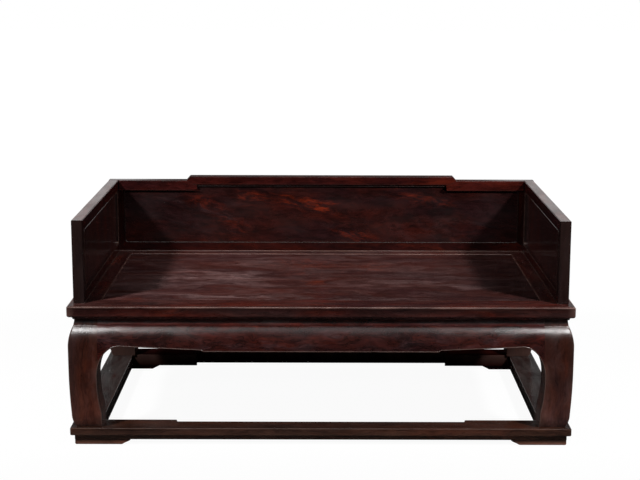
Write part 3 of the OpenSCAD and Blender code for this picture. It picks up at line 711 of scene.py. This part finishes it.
bulgeLevel = apronTop - leg["bulgeHeight"]
bracketCentre = leg["slimWidth"] + bracket["width"]
apronEndBottom = apronTop - apron["height"] + apron["step"] + apron["rise"]
bracketFoot = apronEndBottom - bracket["height"]
shinLevel = frameTop + leg["shinHeight"]
ankleLevel = frameTop + leg["ankleHeight"]
flareLevel = frameTop + leg["flareHeight"]
hoofLevel = frameTop + leg["hoofHeight"]


def bulgeInset(z):
    return arcInset(leg["bulgeHeight"], leg["bulgeInset"], max(z - bulgeLevel, 0.0))


def legOuter(z):
    if z > apronTop:
        return waistInset - waistFlare(z)
    if z > shinLevel:
        return bulgeInset(z)
    if z > ankleLevel:
        return arcInset(shinLevel - ankleLevel, leg["ankleInset"], shinLevel - z)
    toe = arcInset(leg["ankleHeight"], leg["toeInset"] - leg["ankleInset"], ankleLevel - z)
    return leg["ankleInset"] + toe


def bracketInset(z):
    rise = (z - bracketFoot) / bracket["height"]
    return bracketCentre - bracket["width"] * math.sqrt(max(1 - rise * rise, 0.0))


def legInner(z):
    if z > shoulderLevel:
        return legWidth
    if z > bracketFoot:
        return bracketInset(z)
    if z > flareLevel:
        return leg["slimWidth"]
    share = min((flareLevel - z) / (flareLevel - hoofLevel), 1.0)
    return leg["slimWidth"] + (hoofWidth - leg["slimWidth"]) * share * share


# Section of a leg as (inset from the side, inset from the front), outer corner first
def legSection(z, outer, inner, shrink):
    o = outer + leg["faceBack"] + shrink
    i = inner - shrink
    r, q = leg["cornerRound"], leg["innerRound"]
    e = leg["edgeRound"] if z < shoulderLevel else leg["jointRound"]
    crown = leg["crown"] * (1 - softStep((z - bracketFoot) / (shoulderLevel - bracketFoot)))
    corner = arcPoints((o + r, o + r), r, 180, 270, 6)
    front = [(o + r + (i - e - o - r) * k / 4, o - crown * math.sin(math.pi * k / 4)) for k in (1, 2, 3)]
    nearEdge = arcPoints((i - e, o + e), e, 270, 360, 3)
    inside = arcPoints((i - q, i - q), q, 0, 90, 4)
    farEdge = arcPoints((o + e, i - e), e, 90, 180, 3)
    side = [(y, x) for x, y in reversed(front)]
    return corner + front + nearEdge + inside + farEdge + side


# Painted paler towards the foot as light bounced from the floor; the back pair's inner faces are painted dark
# as the shade under the bed
def legTone(spot):
    tone = blended(leg["tone"], leg["footTone"], (bracketFoot - spot.z) / (bracketFoot - hoofLevel))
    if spot.y > 0:
        inwards = halfDepth - spot.y - 2 * leg["bulgeInset"]
        tone *= blended(1.0, leg["insideShadeTone"], inwards / (legWidth / 2))
    return tone


def makeLeg(node, sideX, sideY):
    gap, seam = legRingGap, leg["seam"]
    low = spaced(frameTop + leg["soleLevel"], ankleLevel, gap["hoof"])
    low += spaced(ankleLevel, bracketFoot, gap["shin"])[1:]
    low += spaced(bracketFoot, shoulderLevel - leg["shoulderStep"], gap["bracket"])[1:]
    high = spaced(shoulderLevel, bulgeLevel, gap["shoulder"])
    high += spaced(bulgeLevel, apronTop - leg["neckBelow"], gap["bulge"])[1:]
    high += spaced(apronTop + leg["neckAbove"], seatUnder - seam, gap["neck"])
    rings = [(frameTop, legOuter(frameTop), hoofWidth, seam)]
    rings.append((frameTop + leg["soleLip"], legOuter(frameTop), hoofWidth, 0))
    rings += [(z, legOuter(z), legInner(z), 0) for z in low] + [(z, legOuter(z), legWidth, 0) for z in high]
    rings.append((seatUnder, waistInset, legWidth, seam))
    place = cornerPlace(sideX, sideY)
    bm = bmesh.new()
    addLoft(bm, [[place(x, y, ring[0]) for x, y in legSection(*ring)] for ring in rings])
    makeWood(node, bm, legWood, "z", legTone)
    beadLevels = spaced(shoulderLevel, frameTop + leg["beadFoot"], leg["beadGap"])
    path = [(-legInner(z), z, legOuter(z) + leg["faceBack"]) for z in beadLevels]
    bm = bmesh.new()
    addBead(bm, path, lambda s, face, z: place(-s, face, z), tall=leg["beadHeight"])
    addBead(bm, path, lambda s, face, z: place(face, -s, z), tall=leg["beadHeight"])
    makePiece(node + ".bead", bm, beadWood, "z", beadLook["tone"])


for corner, sideX, sideY in bedCorners:
    makeLeg("leg_" + corner, sideX, sideY)
print("legs shaped")


# Aprons

bracketEnd = bracketInset(shoulderLevel)


# Height of an apron's lower edge at a distance from its middle
def apronEdge(distance, reach, middle):
    inset = reach - distance
    if inset <= bracketEnd:
        return shoulderLevel
    if inset < bracketCentre:
        share = (bracketCentre - inset) / bracket["width"]
        return bracketFoot + bracket["height"] * math.sqrt(max(1 - share * share, 0.0))
    bottom = apronTop - apron["height"]
    run = 2 * apron["step"]
    if distance < middle / 2:
        return bottom + apron["step"] * softStep((distance - middle / 2 + run) / run)
    share = (distance - middle / 2) / (reach - bracketCentre - middle / 2)
    return bottom + apron["step"] + apron["rise"] * share


def apronSection(low, shrink):
    back, top, r = apronDeep - shrink, apronTop - shrink, apron["edgeRound"]
    f = apron["faceBack"] + shrink
    points = [(back, top), (leg["bulgeInset"] + f + apron["topRound"], top)]
    levels = spaced(top - apron["topRound"], low + r, (top - low) / apron["levels"])
    points += [(bulgeInset(z) + f, z) for z in levels]
    points += arcPoints((f + bulgeInset(low) + r, low + r), r, 200, 270, 3)
    return points + [(back, low + shrink)]


def makeApron(edge):
    reach = edgeReach(edge)
    middle = apron["middle"] if edge in longEdges else 0.0
    end = reach - legWidth
    curveEnd = reach - bracketEnd
    straight = reach - bracketCentre
    stops = [0.0]
    if middle:
        stops = spaced(0.0, middle / 2 - 2 * apron["step"], apron["ringGap"])
        stops += spaced(stops[-1], middle / 2, apron["stepGap"])[1:]
    stops += spaced(stops[-1], straight, apron["ringGap"])[1:]
    stops += [straight + bracket["width"] * math.sin(math.radians(a)) for a in apron["bracketTurns"]]
    stops = [s for s in stops if s < curveEnd - apron["bracketClear"]] + [curveEnd, end - apron["seam"], end]
    stops = [-s for s in reversed(stops)] + stops[1:]
    place = edgePlace(edge)
    rings = []
    for s in stops:
        shrink = apron["seam"] if abs(s) == end else 0.0
        section = apronSection(apronEdge(abs(s), reach, middle), shrink)
        rings.append([place(s, inset, z) for inset, z in section])
    bm = bmesh.new()
    addLoft(bm, rings)
    makeWood("apron_" + edge, bm, apronWood, edgeGrain(edge), apron["tone"])
    path = [(s, apronEdge(abs(s), reach, middle), apron["faceBack"]) for s in stops if abs(s) <= curveEnd]
    bm = bmesh.new()
    addBead(bm, path, place, tall=leg["beadHeight"])
    makePiece(f"apron_{edge}.bead", bm, beadWood, edgeGrain(edge), beadLook["tone"])


for edge in edges:
    makeApron(edge)
print("aprons shaped")


# A mitred bar along an edge: the section is (inset, height), and each end runs back along its mitre
def mitredRings(section, reach, place, look, gap, slopes=(1.0, 1.0)):
    tipRound, seam = look["tipRound"], look["seam"]
    tip = tipRound * math.sin(math.radians(45))
    fade = 3 * tipRound

    def endRing(sign, back, inward, points):
        slope = slopes[0] if sign < 0 else slopes[1]
        ring = []
        for inset, z in points:
            moved = inset + inward * max(0.0, 1 - inset / fade)
            ring.append(place(sign * (reach - slope * moved - back), moved, z))
        return ring

    plain = section(0.0)
    shrunk = insetOutline(plain, [-seam] * len(plain))
    turns = [math.radians(a) for a in (15, 30, 45)]
    caps = [(tip - tipRound * math.sin(a), tipRound * (1 - math.cos(a)), plain) for a in turns[:-1]]
    caps.append((2 * seam, caps[-1][1], plain))
    caps.append((0.0, tipRound * (1 - math.cos(turns[-1])), shrunk))
    rings = [endRing(-1, *cap) for cap in reversed(caps)]
    for t in spaced(-1.0, 1.0, gap / reach):
        ring = []
        for inset, z in section(t * reach):
            low, high = -reach + slopes[0] * inset + tip, reach - slopes[1] * inset - tip
            ring.append(place(low + (high - low) * (t + 1) / 2, inset, z))
        rings.append(ring)
    return rings + [endRing(1, *cap) for cap in caps]


# Seat rails

seatRail = {
    "roundRadius": 0.0085,
    "edgeFlat": 0.001,
    "coveRadius": 0.010,
    "topArris": 0.0044,
    "wear": 0.0012,
    "wearLength": 0.10,
    "innerArris": 0.0034,
    "flatBand": 0.003,
    "tipRound": 0.007,
    "seam": 0.0004,
    "ringGap": 0.025,
    # The high share paints the bright line along the front arris: a painted highlight, with some wear
    "wornShare": 0.75,
    "topTone": 2.05,
    "faceTone": 0.60,
    "rollTone": 2.1,
}
backRailWidth = halfDepth - boardBack


def seatRailSection(edge):
    wide = backRailWidth if edge == "back" else railWidth
    inner, roll, cove, band = (seatRail[k] for k in ("innerArris", "roundRadius", "coveRadius", "flatBand"))
    start = roll + seatRail["edgeFlat"]

    def section(s):
        r = seatRail["topArris"] + seatRail["wear"] * wobble(s, seatRail["wearLength"], len(edge))
        points = arcPoints((r, seatTop - r), r, 180, 90, 5)
        points += [(r + band, seatTop), (wide / 2, seatTop), (wide - inner - band, seatTop)]
        points += arcPoints((wide - inner, seatTop - inner), inner, 90, 0, 4)
        points += [(wide, seatUnder), (wide * 0.6, seatUnder)]
        points += arcPoints((start, seatUnder), cove, 0, 90, 6)
        points += arcPoints((roll, seatUnder + cove + roll), roll, 270, 180, 6)
        return points + [(0.0, seatTop - r - band)]
    return section


# The tops carry a painted sheen and the lower roll painted light, both paler than the faces
def seatRailTone(spot):
    face = blended(seatRail["faceTone"], seatRail["rollTone"], (seatTop - spot.z) / (seatTop - seatUnder))
    return blended(face, seatRail["topTone"], (spot.z - seatTop) / seatRail["topArris"] + 1)


# The mitres at the back run to the inner corner of the wider back rail
def makeSeatRail(edge):
    bm = bmesh.new()
    backSlope = {"front": 1.0, "back": railWidth / backRailWidth}.get(edge, backRailWidth / railWidth)
    slopes = (backSlope if edge in longEdges else 1.0, backSlope)
    section = seatRailSection(edge)
    addLoft(bm, mitredRings(section, edgeReach(edge), edgePlace(edge), seatRail, seatRail["ringGap"], slopes))
    makeWood("seat_rail_" + edge, bm, seatRailWood, edgeGrain(edge), seatRailTone,
             wornShare=seatRail["wornShare"])


for edge in edges:
    makeSeatRail(edge)


# Seat boards

seatBoard = {"rim": 0.0006, "gap": 0.12, "tone": 1.42, "fade": 0.60, "fadeStart": 0.7, "fadeRun": 1.2}


# The left half is painted a little paler than the right
def seatTone(spot):
    share = (spot.x / halfLength + seatBoard["fadeStart"]) / seatBoard["fadeRun"]
    return seatBoard["tone"] - seatBoard["fade"] * softStep(share)


def makeSeatBoard(node, low, high):
    reach, rim = halfLength - railWidth, seatBoard["rim"]
    outline = [(-reach, low, rim), (reach, low, rim), (reach, high, rim), (-reach, high, rim)]
    bm = bmesh.new()
    addSlab(bm, outline, lambda s, down, y: Vector((s, y, boardTop - down)), 0.0, boardTop - boardUnder,
            gap=seatBoard["gap"])
    makeWood(node, bm, seatWood, "x", seatTone, slot="rosewood_figured", seed=0)


makeSeatBoard("seat_board_front", boardFront, 0.0)
makeSeatBoard("seat_board_back", 0.0, boardBack)
print("seat framed")


# Floor frame

floorFrame = {
    "upper": 0.030,
    "rabbet": 0.015,
    "rabbetEdge": 0.001,
    "middleWidth": {"front": 0.086, "back": 0.062},
    "wideEnd": 0.390,
    "slope": 0.022,
    "topArris": 0.0030,
    "underArris": 0.0055,
    "innerArris": 0.0025,
    "flatBand": 0.003,
    "tipRound": 0.006,
    "seam": 0.0004,
    "ringGap": {"front": 0.0075, "back": 0.0075, "left": 0.045, "right": 0.045},
    # The front stretcher's high tone is painted light, standing in for light bounced from the floor
    "tone": {"front": 1.5, "back": 0.9, "left": 0.8, "right": 0.8},
    "topTone": 1.25,
    "insideShadeTone": 0.2,
}


def stretcherWidth(edge, s):
    if edge not in longEdges:
        return frameWidth
    turn = halfLength - floorFrame["wideEnd"]
    return blended(floorFrame["middleWidth"][edge], frameWidth, (abs(s) - turn) / floorFrame["slope"] + 1)


def stretcherSection(edge):
    layer = frameTop - floorFrame["upper"]
    a, u, q, band = (floorFrame[k] for k in ("topArris", "underArris", "innerArris", "flatBand"))
    rabbet, lip = floorFrame["rabbet"], floorFrame["rabbetEdge"]

    def section(s):
        wide = stretcherWidth(edge, s * (1 - frameWidth / edgeReach(edge)))
        points = [(0.0, frameTop - a - band)] + arcPoints((a, frameTop - a), a, 180, 90, 4)
        points += [(a + band, frameTop), (wide - q - band, frameTop)]
        points += arcPoints((wide - q, frameTop - q), q, 90, 0, 3)
        points += [(wide, frameUnder), (rabbet + lip, frameUnder), (rabbet, frameUnder + lip)]
        return points + [(rabbet, layer)] + arcPoints((u, layer + u), u, 270, 180, 5)
    return section


# The top of the front stretcher is painted darker than its face as painted shade, and the inner side of the
# back one is painted dark as the shade under the bed
def stretcherTone(edge):
    plain, top, inside = floorFrame["tone"][edge], floorFrame["topTone"], floorFrame["insideShadeTone"]
    wide = floorFrame["middleWidth"]["back"]
    tones = {
        "front": lambda spot: blended(plain, top, (spot.z - frameTop) / floorFrame["topArris"] + 1),
        "back": lambda spot: blended(plain, inside, (halfDepth - spot.y) / wide),
    }
    return tones.get(edge, plain)


def makeStretcher(edge):
    bm = bmesh.new()
    gap = floorFrame["ringGap"][edge]
    addLoft(bm, mitredRings(stretcherSection(edge), edgeReach(edge), edgePlace(edge), floorFrame, gap))
    wood = {"front": floorWood, "back": dullWood}.get(edge, sideFloorWood)
    makeWood("stretcher_" + edge, bm, wood, edgeGrain(edge), stretcherTone(edge))


for edge in edges:
    makeStretcher(edge)


# Pad feet

foot = {
    "inset": 0.015,
    "alongFront": 0.180,
    "alongSide": 0.150,
    "slope": 0.032,
    "width": 0.080,
    "cornerRound": 0.006,
    "underRound": 0.005,
    "roundLevels": ((0.0, 1.0), (0.05, 0.45)),
    "plainLevels": (0.16, 0.3, 0.45, 0.6, 0.75, 0.88, 1.0),
    "tone": 0.5,
    "lowTone": 5.5,
    "toneReach": 0.95,
}


# The front feet are painted paler near the ground as light bounced from the floor, and darker higher up as
# the shade under the stretcher
def footTone(spot):
    return blended(foot["lowTone"], foot["tone"], spot.z / frameUnder / foot["toneReach"])


def makeFoot(node, sideX, sideY):
    a, w, r = foot["inset"], foot["width"], foot["cornerRound"]
    place = cornerPlace(sideX, sideY)
    rings = []
    for share, shrink in [*foot["roundLevels"], *((level, 0.0) for level in foot["plainLevels"])]:
        stretch = foot["slope"] * softStep(share)
        endX, endY = a + foot["alongFront"] + stretch, a + foot["alongSide"] + stretch
        outline = arcPoints((a + r, a + r), r, 180, 270, 5)
        outline += [(endX, a), (endX, a + w), (a + w, a + w), (a + w, endY), (a, endY)]
        outline = insetOutline(outline, [foot["underRound"] * shrink] * len(outline))
        rings.append([place(x, y, frameUnder * share) for x, y in outline])
    bm = bmesh.new()
    addLoft(bm, rings)
    wood, tone = (dullWood, foot["tone"]) if sideY > 0 else (floorWood, footTone)
    makeWood(node, bm, wood, "x", tone, slot="rosewood_plain")


for corner, sideX, sideY in bedCorners:
    makeFoot("foot_" + corner, sideX, sideY)
print("floor frame laid")


# Railings

railing = {
    "arris": 0.0028,
    "openArris": 0.0012,
    "joint": 0.0003,
    "wear": 0.5,
    "stepSlope": 0.015,
    "stepReturn": 0.020,
    "stepRound": 0.005,
    "innerRound": 0.004,
    "facingProud": 0.008,
    "facingRoot": 0.001,
    "facingLip": 0.009,
    "facingRound": 0.0026,
    "facingFarShare": 0.1,
    "endLip": 0.0005,
    "endReach": 0.027,
    "endRound": 0.006,
    "endGap": 0.003,
    "panelGap": 0.2,
    "wornShare": 0.06,
}
railingTone = {"top": 1.0, "endTop": 1.3, "sideTop": 2.2, "bottom": 0.62, "stile": 0.40, "sideStile": 0.48,
               "panel": 0.70, "sidePanel": 1.25}


def backPlace(s, inset, z):
    return Vector((s, backFace + inset, z))


# The same outline on the other side of the middle, with each rounding still on its own edge
def mirrorOutline(outline):
    turned = outline[::-1]
    rims = [rim for x, z, rim, *fillet in turned[1:] + turned[:1]]
    return [(-x, z, edgeRim, *fillet) for edgeRim, (x, z, rim, *fillet) in zip(rims, turned)]


# Some rails carry a facing that stands a little proud of the joints
def makeRailingPiece(node, wood, outline, place, along, tone, body, facing=()):
    bm = bmesh.new()
    addSlab(bm, outline, place, 0.0, backDeep, wear=railing["wear"])
    if facing:
        addSlab(bm, facing, place, -railing["facingProud"], railing["facingRoot"], wear=railing["wear"],
                farRims=railing["facingFarShare"])
    makeWood(node, bm, wood, along, tone, body, wornShare=railing["wornShare"])


def makePanel(node, wood, opening, place, along, tone, body, seed=None):
    bm = bmesh.new()
    outline = [(x, z, railing["joint"]) for x, z in opening]
    addSlab(bm, outline, place, panelRecess, panelRecess + panelDeep, gap=railing["panelGap"])
    makeWood(node, bm, wood, along, tone, body, "rosewood_figured", seed=seed)


# A raised bead round a panel, with its corners filled to a small radius, and one along the railing's foot
def makeRailingBead(body, opening, place, along, tone, footStart, footEnd):
    radius = beadLook["cornerRadius"]
    points = filletOutline([(x, z, 0.0, radius) for x, z in opening], beadLook["gap"])[0]
    bm = bmesh.new()
    addBead(bm, [(x, z, 0.0) for x, z in reversed(points)], place, loop=True)
    for i, here in enumerate(opening):
        fill = [here] + filletPoints(here, opening[(i + 1) % len(opening)], opening[i - 1], radius)
        depths = (beadLook["clear"], panelRecess + beadLook["tuck"])
        addLoft(bm, [[place(x, depth, z) for x, z in fill] for depth in depths])
    path = [(s, seatTop + beadLook["clear"], 0.0) for s in spaced(footStart, footEnd, beadLook["footGap"])]
    addBead(bm, path, place, wide=beadLook["footWidth"], tall=beadLook["footHeight"])
    makePiece(body + ".bead", bm, beadWood, along, tone, body, wornShare=0.0)


# The tops of the side railings are painted paler as a painted sheen
def sideTopTone(spot):
    return blended(railingTone["top"], railingTone["sideTop"], (spot.z - railingTop) / railing["arris"] + 1)


def makeSideRailing(side, sign):
    body = side + "_railing"
    stile = highOf(side + "_front_stile").y - sideFront
    far = sideLength - stile
    arris, slim, joint = railing["arris"], railing["openArris"], railing["joint"]
    end = sideLength - joint

    def place(s, inset, z):
        return Vector((sign * (sideFace + inset), sideFront + s, z))

    def makePart(part, wood, along, tone, outline):
        makeRailingPiece(f"{side}_{part}", wood, outline, place, along, tone, body)

    makePart("top_rail", railWood, "y", sideTopTone, [
        (stile, openingTop, slim), (far, openingTop, joint),
        (end, railingTop, arris), (0, railingTop, joint)])
    makePart("bottom_rail", railWood, "y", railingTone["bottom"], [
        (0, seatTop, joint), (end, seatTop, joint),
        (far, openingBottom, slim), (stile, openingBottom, joint)])
    makePart("front_stile", stileWood, "z", railingTone["sideStile"], [
        (0, seatTop, joint), (stile, openingBottom, slim),
        (stile, openingTop, joint), (0, railingTop, arris)])
    makePart("back_stile", stileWood, "z", railingTone["sideStile"], [
        (end, seatTop, joint), (end, railingTop, joint),
        (far, openingTop, slim), (far, openingBottom, joint)])
    opening = [(stile, openingBottom), (far, openingBottom), (far, openingTop), (stile, openingTop)]
    makePanel(side + "_panel", sideWood, opening, place, "z", railingTone["sidePanel"], body)
    makeRailingBead(body, opening, place, "y", beadLook["sideTone"], 0.0, end)


# The bead round the back panel is painted dark for the shade under the rails, less dark along the bottom, and
# the one on the seat is painted palest as a highlight line
def backBeadTone(spot):
    if spot.z < seatTop + beadLook["width"] * 2:
        return beadLook["footTone"]
    low = spot.z < openingBottom + beadLook["cornerRadius"] / 2
    return beadLook["railTone"] if low else beadLook["stileTone"]


def makeBackRailing():
    body = "back_railing"
    arris, slim, joint = railing["arris"], railing["openArris"], railing["joint"]
    bend, roll, lip = railing["stepRound"], railing["facingRound"], railing["facingLip"]
    raised = openingTop + (middleTop - railingTop)
    peak = middleEnd - railing["stepSlope"]
    inner = middleEnd - railing["stepReturn"]
    root = inner - railing["stepSlope"]
    stop = sideFace - railing["endGap"]
    reach, under = inner - railing["endReach"], openingTop + railing["endLip"]

    def makePart(part, along, tone, outline, facing=()):
        makeRailingPiece("back_" + part, railWood, outline, backPlace, along, railingTone[tone], body, facing)

    end = [(inner, openingTop, slim, railing["innerRound"]), (backOpening, openingTop, joint),
           (backHalf, railingTop, arris), (middleEnd, railingTop, joint), (root, raised, slim)]
    endFacing = [(reach, under, roll, railing["endRound"]), (stop, under, joint), (stop, railingTop, roll),
                 (middleEnd, railingTop, joint), (root + lip / 2, raised + lip, joint),
                 (reach, raised + lip, joint)]
    makePart("top_rail_right", "x", "endTop", end, endFacing)
    makePart("top_rail_left", "x", "endTop", mirrorOutline(end), mirrorOutline(endFacing))
    middle = [(-root, raised, slim), (root, raised, joint), (middleEnd, railingTop, arris),
              (peak, middleTop, arris, bend), (-peak, middleTop, arris, bend),
              (-middleEnd, railingTop, joint)]
    middleFacing = [(-root - lip / 2, raised + lip, roll), (root + lip / 2, raised + lip, joint),
                    (middleEnd, railingTop, roll), (peak, middleTop, roll, bend),
                    (-peak, middleTop, roll, bend), (-middleEnd, railingTop, joint)]
    makePart("top_rail_middle", "x", "top", middle, middleFacing)
    makePart("bottom_rail", "x", "bottom", [
        (-backHalf, seatTop, joint), (backHalf, seatTop, joint), (backOpening, openingBottom, slim),
        (-backOpening, openingBottom, joint)])
    stile = [(backHalf, seatTop, joint), (backHalf, railingTop, joint), (backOpening, openingTop, slim),
             (backOpening, openingBottom, joint)]
    makePart("stile_right", "z", "stile", stile)
    makePart("stile_left", "z", "stile", mirrorOutline(stile))
    opening = [(-backOpening, openingBottom), (backOpening, openingBottom), (backOpening, openingTop),
               (inner, openingTop), (root, raised), (-root, raised), (-inner, openingTop),
               (-backOpening, openingTop)]
    makePanel("back_panel", panelWood, opening, backPlace, "x", railingTone["panel"], body, seed=0)
    makeRailingBead(body, opening, backPlace, "x", backBeadTone, -sideFace, sideFace)


makeSideRailing("left", -1)
makeSideRailing("right", 1)
makeBackRailing()
print("railings framed")


# Battens, tenons and keys stay as they were cut and only get their wood

hidden = {"tone": 0.8, "firstSeed": 40}
hiddenNodes = [node for node in frame["nodes"]
               if node.startswith("batten") or node.endswith(("tenons", "keys"))]
for count, node in enumerate(hiddenNodes):
    mesh = frame["nodes"][node].data
    mesh.materials.clear()
    mesh.materials.append(plainWood)
    writeGrain(mesh, "y" if node.startswith("batten") else "z", hidden["firstSeed"] + count, hidden["tone"])


# Floor and world: a white page that keeps the shadow of the bed

page = {
    "size": 60.0,
    "paper": (0.9, 0.9, 0.9),
    "shadowShare": 0.07,
    "shadowReach": (1.6, 3.2),
    "glow": 1.02,
    "bounce": 0.50,
    "sheen": 0.05,
}


# The camera sees glowing paper with a share of real shadow near the bed, and other rays see a dimmer floor
def makePage():
    material = bpy.data.materials.new("whitePage")
    material.use_nodes = True
    tree = material.node_tree
    tree.nodes.remove(tree.nodes["Principled BSDF"])
    rays = addNode(tree, "LightPath", {}).outputs
    spot = addNode(tree, "TexCoord", {}).outputs["Object"]
    away = vectorOf(tree, "LENGTH", spot).outputs["Value"]
    share = rangeOf(tree, away, *page["shadowReach"], 1 - page["shadowShare"], 1.0)
    paper = addNode(tree, "BsdfDiffuse", {"Color": page["paper"]}).outputs[0]
    glow = addNode(tree, "Emission", {"Strength": page["glow"]}).outputs[0]
    seen = addNode(tree, "MixShader", {0: share, 1: paper, 2: glow}).outputs[0]
    lift = rangeOf(tree, rays["Is Glossy Ray"], 0.0, 1.0, page["bounce"], page["sheen"])
    dim = addNode(tree, "BsdfDiffuse", {"Color": lift}).outputs[0]
    either = addNode(tree, "MixShader", {0: rays["Is Camera Ray"], 1: dim, 2: seen}).outputs[0]
    plug(tree, tree.nodes["Material Output"].inputs["Surface"], either)
    return material


def makeFloor():
    bm = bmesh.new()
    bmesh.ops.create_grid(bm, x_segments=1, y_segments=1, size=page["size"] / 2)
    mesh = bpy.data.meshes.new("floor")
    bm.to_mesh(mesh)
    bm.free()
    mesh.materials.append(makePage())
    floor = bpy.data.objects.new("floor", mesh)
    bpy.context.scene.collection.objects.link(floor)


sky = {
    "ambient": 0.045,
    "behind": 0.76,
    "ahead": 0.015,
    "middleShare": 0.12,
    "turn": (0.2, 0.8),
    "bandTop": (0.18, 0.235),
    "bandSide": (0.105, 0.135),
}


# Camera rays see plain white, soft light comes from everywhere, and gloss sees pale walls behind the bed
def makeWorld():
    world = bpy.data.worlds.new("studio")
    bpy.context.scene.world = world
    world.use_nodes = True
    tree = world.node_tree
    tree.nodes.clear()
    rays = addNode(tree, "LightPath", {}).outputs
    place = addNode(tree, "TexCoord", {}).outputs["Generated"]
    way = addNode(tree, "SeparateXYZ", {0: place}).outputs
    behind = rangeOf(tree, way["Y"], *sky["turn"])
    low = rangeOf(tree, way["Z"], *sky["bandTop"], 1.0, 0.0)
    beside = rangeOf(tree, mathOf(tree, "ABSOLUTE", way["X"]), *sky["bandSide"], sky["middleShare"], 1.0)
    shine = mathOf(tree, "MULTIPLY", mathOf(tree, "MULTIPLY", behind, low), sky["behind"])
    shine = addNode(tree, "Math", {0: shine, 1: beside, 2: sky["ahead"]}, operation="MULTIPLY_ADD").outputs[0]
    glossy = mathOf(tree, "MULTIPLY", shine, rays["Is Glossy Ray"])
    diffuse = mathOf(tree, "MULTIPLY", rays["Is Diffuse Ray"], sky["ambient"])
    total = mathOf(tree, "ADD", mathOf(tree, "ADD", glossy, diffuse), rays["Is Camera Ray"])
    back = addNode(tree, "Background", {"Color": (1.0, 1.0, 1.0), "Strength": total}).outputs[0]
    addNode(tree, "OutputWorld", {"Surface": back})


makeFloor()
makeWorld()


# Lamps: a key high on each side, feathered away from the middle, soft boxes that only give gloss its light,
# and a box behind the bed that lights everything but gloss

keyLamp = {
    "place": (3.07, -2.70, 3.46),
    "target": (1.05, 0.1, 0.6),
    "power": 880,
    "radius": 0.20,
    "cone": 48,
    "feather": 1.0,
}
boxLamp = {"place": (2.1, -4.9, 2.85), "target": (0.9, -0.5, 0.4), "power": 95, "size": (0.7, 0.7)}
stripLamp = {"place": (0.0, -4.9, 3.1), "target": (0.0, -0.5, 0.4), "power": 12, "size": (3.4, 1.0)}
topLamp = {"place": (0.0, -1.2, 3.2), "target": (0.0, -0.2, 0.5), "power": 45, "size": (3.0, 1.0)}
backLamp = {"place": (0.0, 4.8, 1.5), "target": (0.0, 0.4, 0.5), "power": 70, "size": (3.0, 0.8)}


def hangLamp(name, kind, lamp, side=1):
    light = bpy.data.lights.new(name, kind)
    light.energy = lamp["power"]
    holder = bpy.data.objects.new(name, light)
    holder.location = (side * lamp["place"][0], *lamp["place"][1:])
    way = Vector((side * lamp["target"][0], *lamp["target"][1:])) - holder.location
    holder.rotation_euler = way.to_track_quat("-Z", "Y").to_euler()
    holder.visible_camera = False
    bpy.context.scene.collection.objects.link(holder)
    return holder


# A soft box for gloss alone or for all but gloss; it lights one collection where one is given
def hangBox(name, lamp, side=1, gloss=True, lit=None):
    holder = hangLamp(name, "AREA", lamp, side)
    holder.data.shape = "RECTANGLE"
    holder.data.size, holder.data.size_y = lamp["size"]
    holder.visible_glossy = gloss
    holder.visible_diffuse = not gloss
    if lit:
        holder.light_linking.receiver_collection = lit


# Screens keep the low boxes off everything but the bulging front of the bed
screened = bpy.data.collections.new("screened")
for piece in bpy.context.scene.objects:
    bulging = piece.name.startswith(("apron_front", "leg_front", "waist_front"))
    if bulging and piece.name not in frame["nodes"]:
        screened.objects.link(piece)
hangBox("topLight", topLamp)
hangBox("frontStrip", stripLamp, lit=screened)
hangBox("backFill", backLamp, gloss=False)
for sideName, side in (("Left", -1), ("Right", 1)):
    key = hangLamp("key" + sideName, "SPOT", keyLamp, side).data
    key.shadow_soft_size = keyLamp["radius"]
    key.spot_size = math.radians(keyLamp["cone"])
    key.spot_blend = keyLamp["feather"]
    hangBox("box" + sideName, boxLamp, side, lit=screened)


# Camera

camera = {
    "focalPixels": 1455.2,
    "framePixels": 640,
    "sensor": 36.0,
    "pitch": 11.075,
    "roll": 0.124,
    "height": 1.829,
    "inFront": 5.269,
    "centrePixels": 1.19,
}


def makeCamera():
    data = bpy.data.cameras.new("camera")
    data.sensor_width = camera["sensor"]
    data.lens = camera["sensor"] * camera["focalPixels"] / camera["framePixels"]
    data.shift_x = -camera["centrePixels"] / camera["framePixels"]
    holder = bpy.data.objects.new("camera", data)
    spot = Vector((0.0, -halfDepth - camera["inFront"], camera["height"]))
    tilt = Matrix.Rotation(math.radians(90 - camera["pitch"]), 4, "X")
    roll = Matrix.Rotation(math.radians(camera["roll"]), 4, "Z")
    holder.matrix_world = Matrix.Translation(spot) @ tilt @ roll
    bpy.context.scene.collection.objects.link(holder)
    bpy.context.scene.camera = holder


makeCamera()
bpy.context.scene.view_settings.view_transform = "Standard"
print("lamps and camera set")
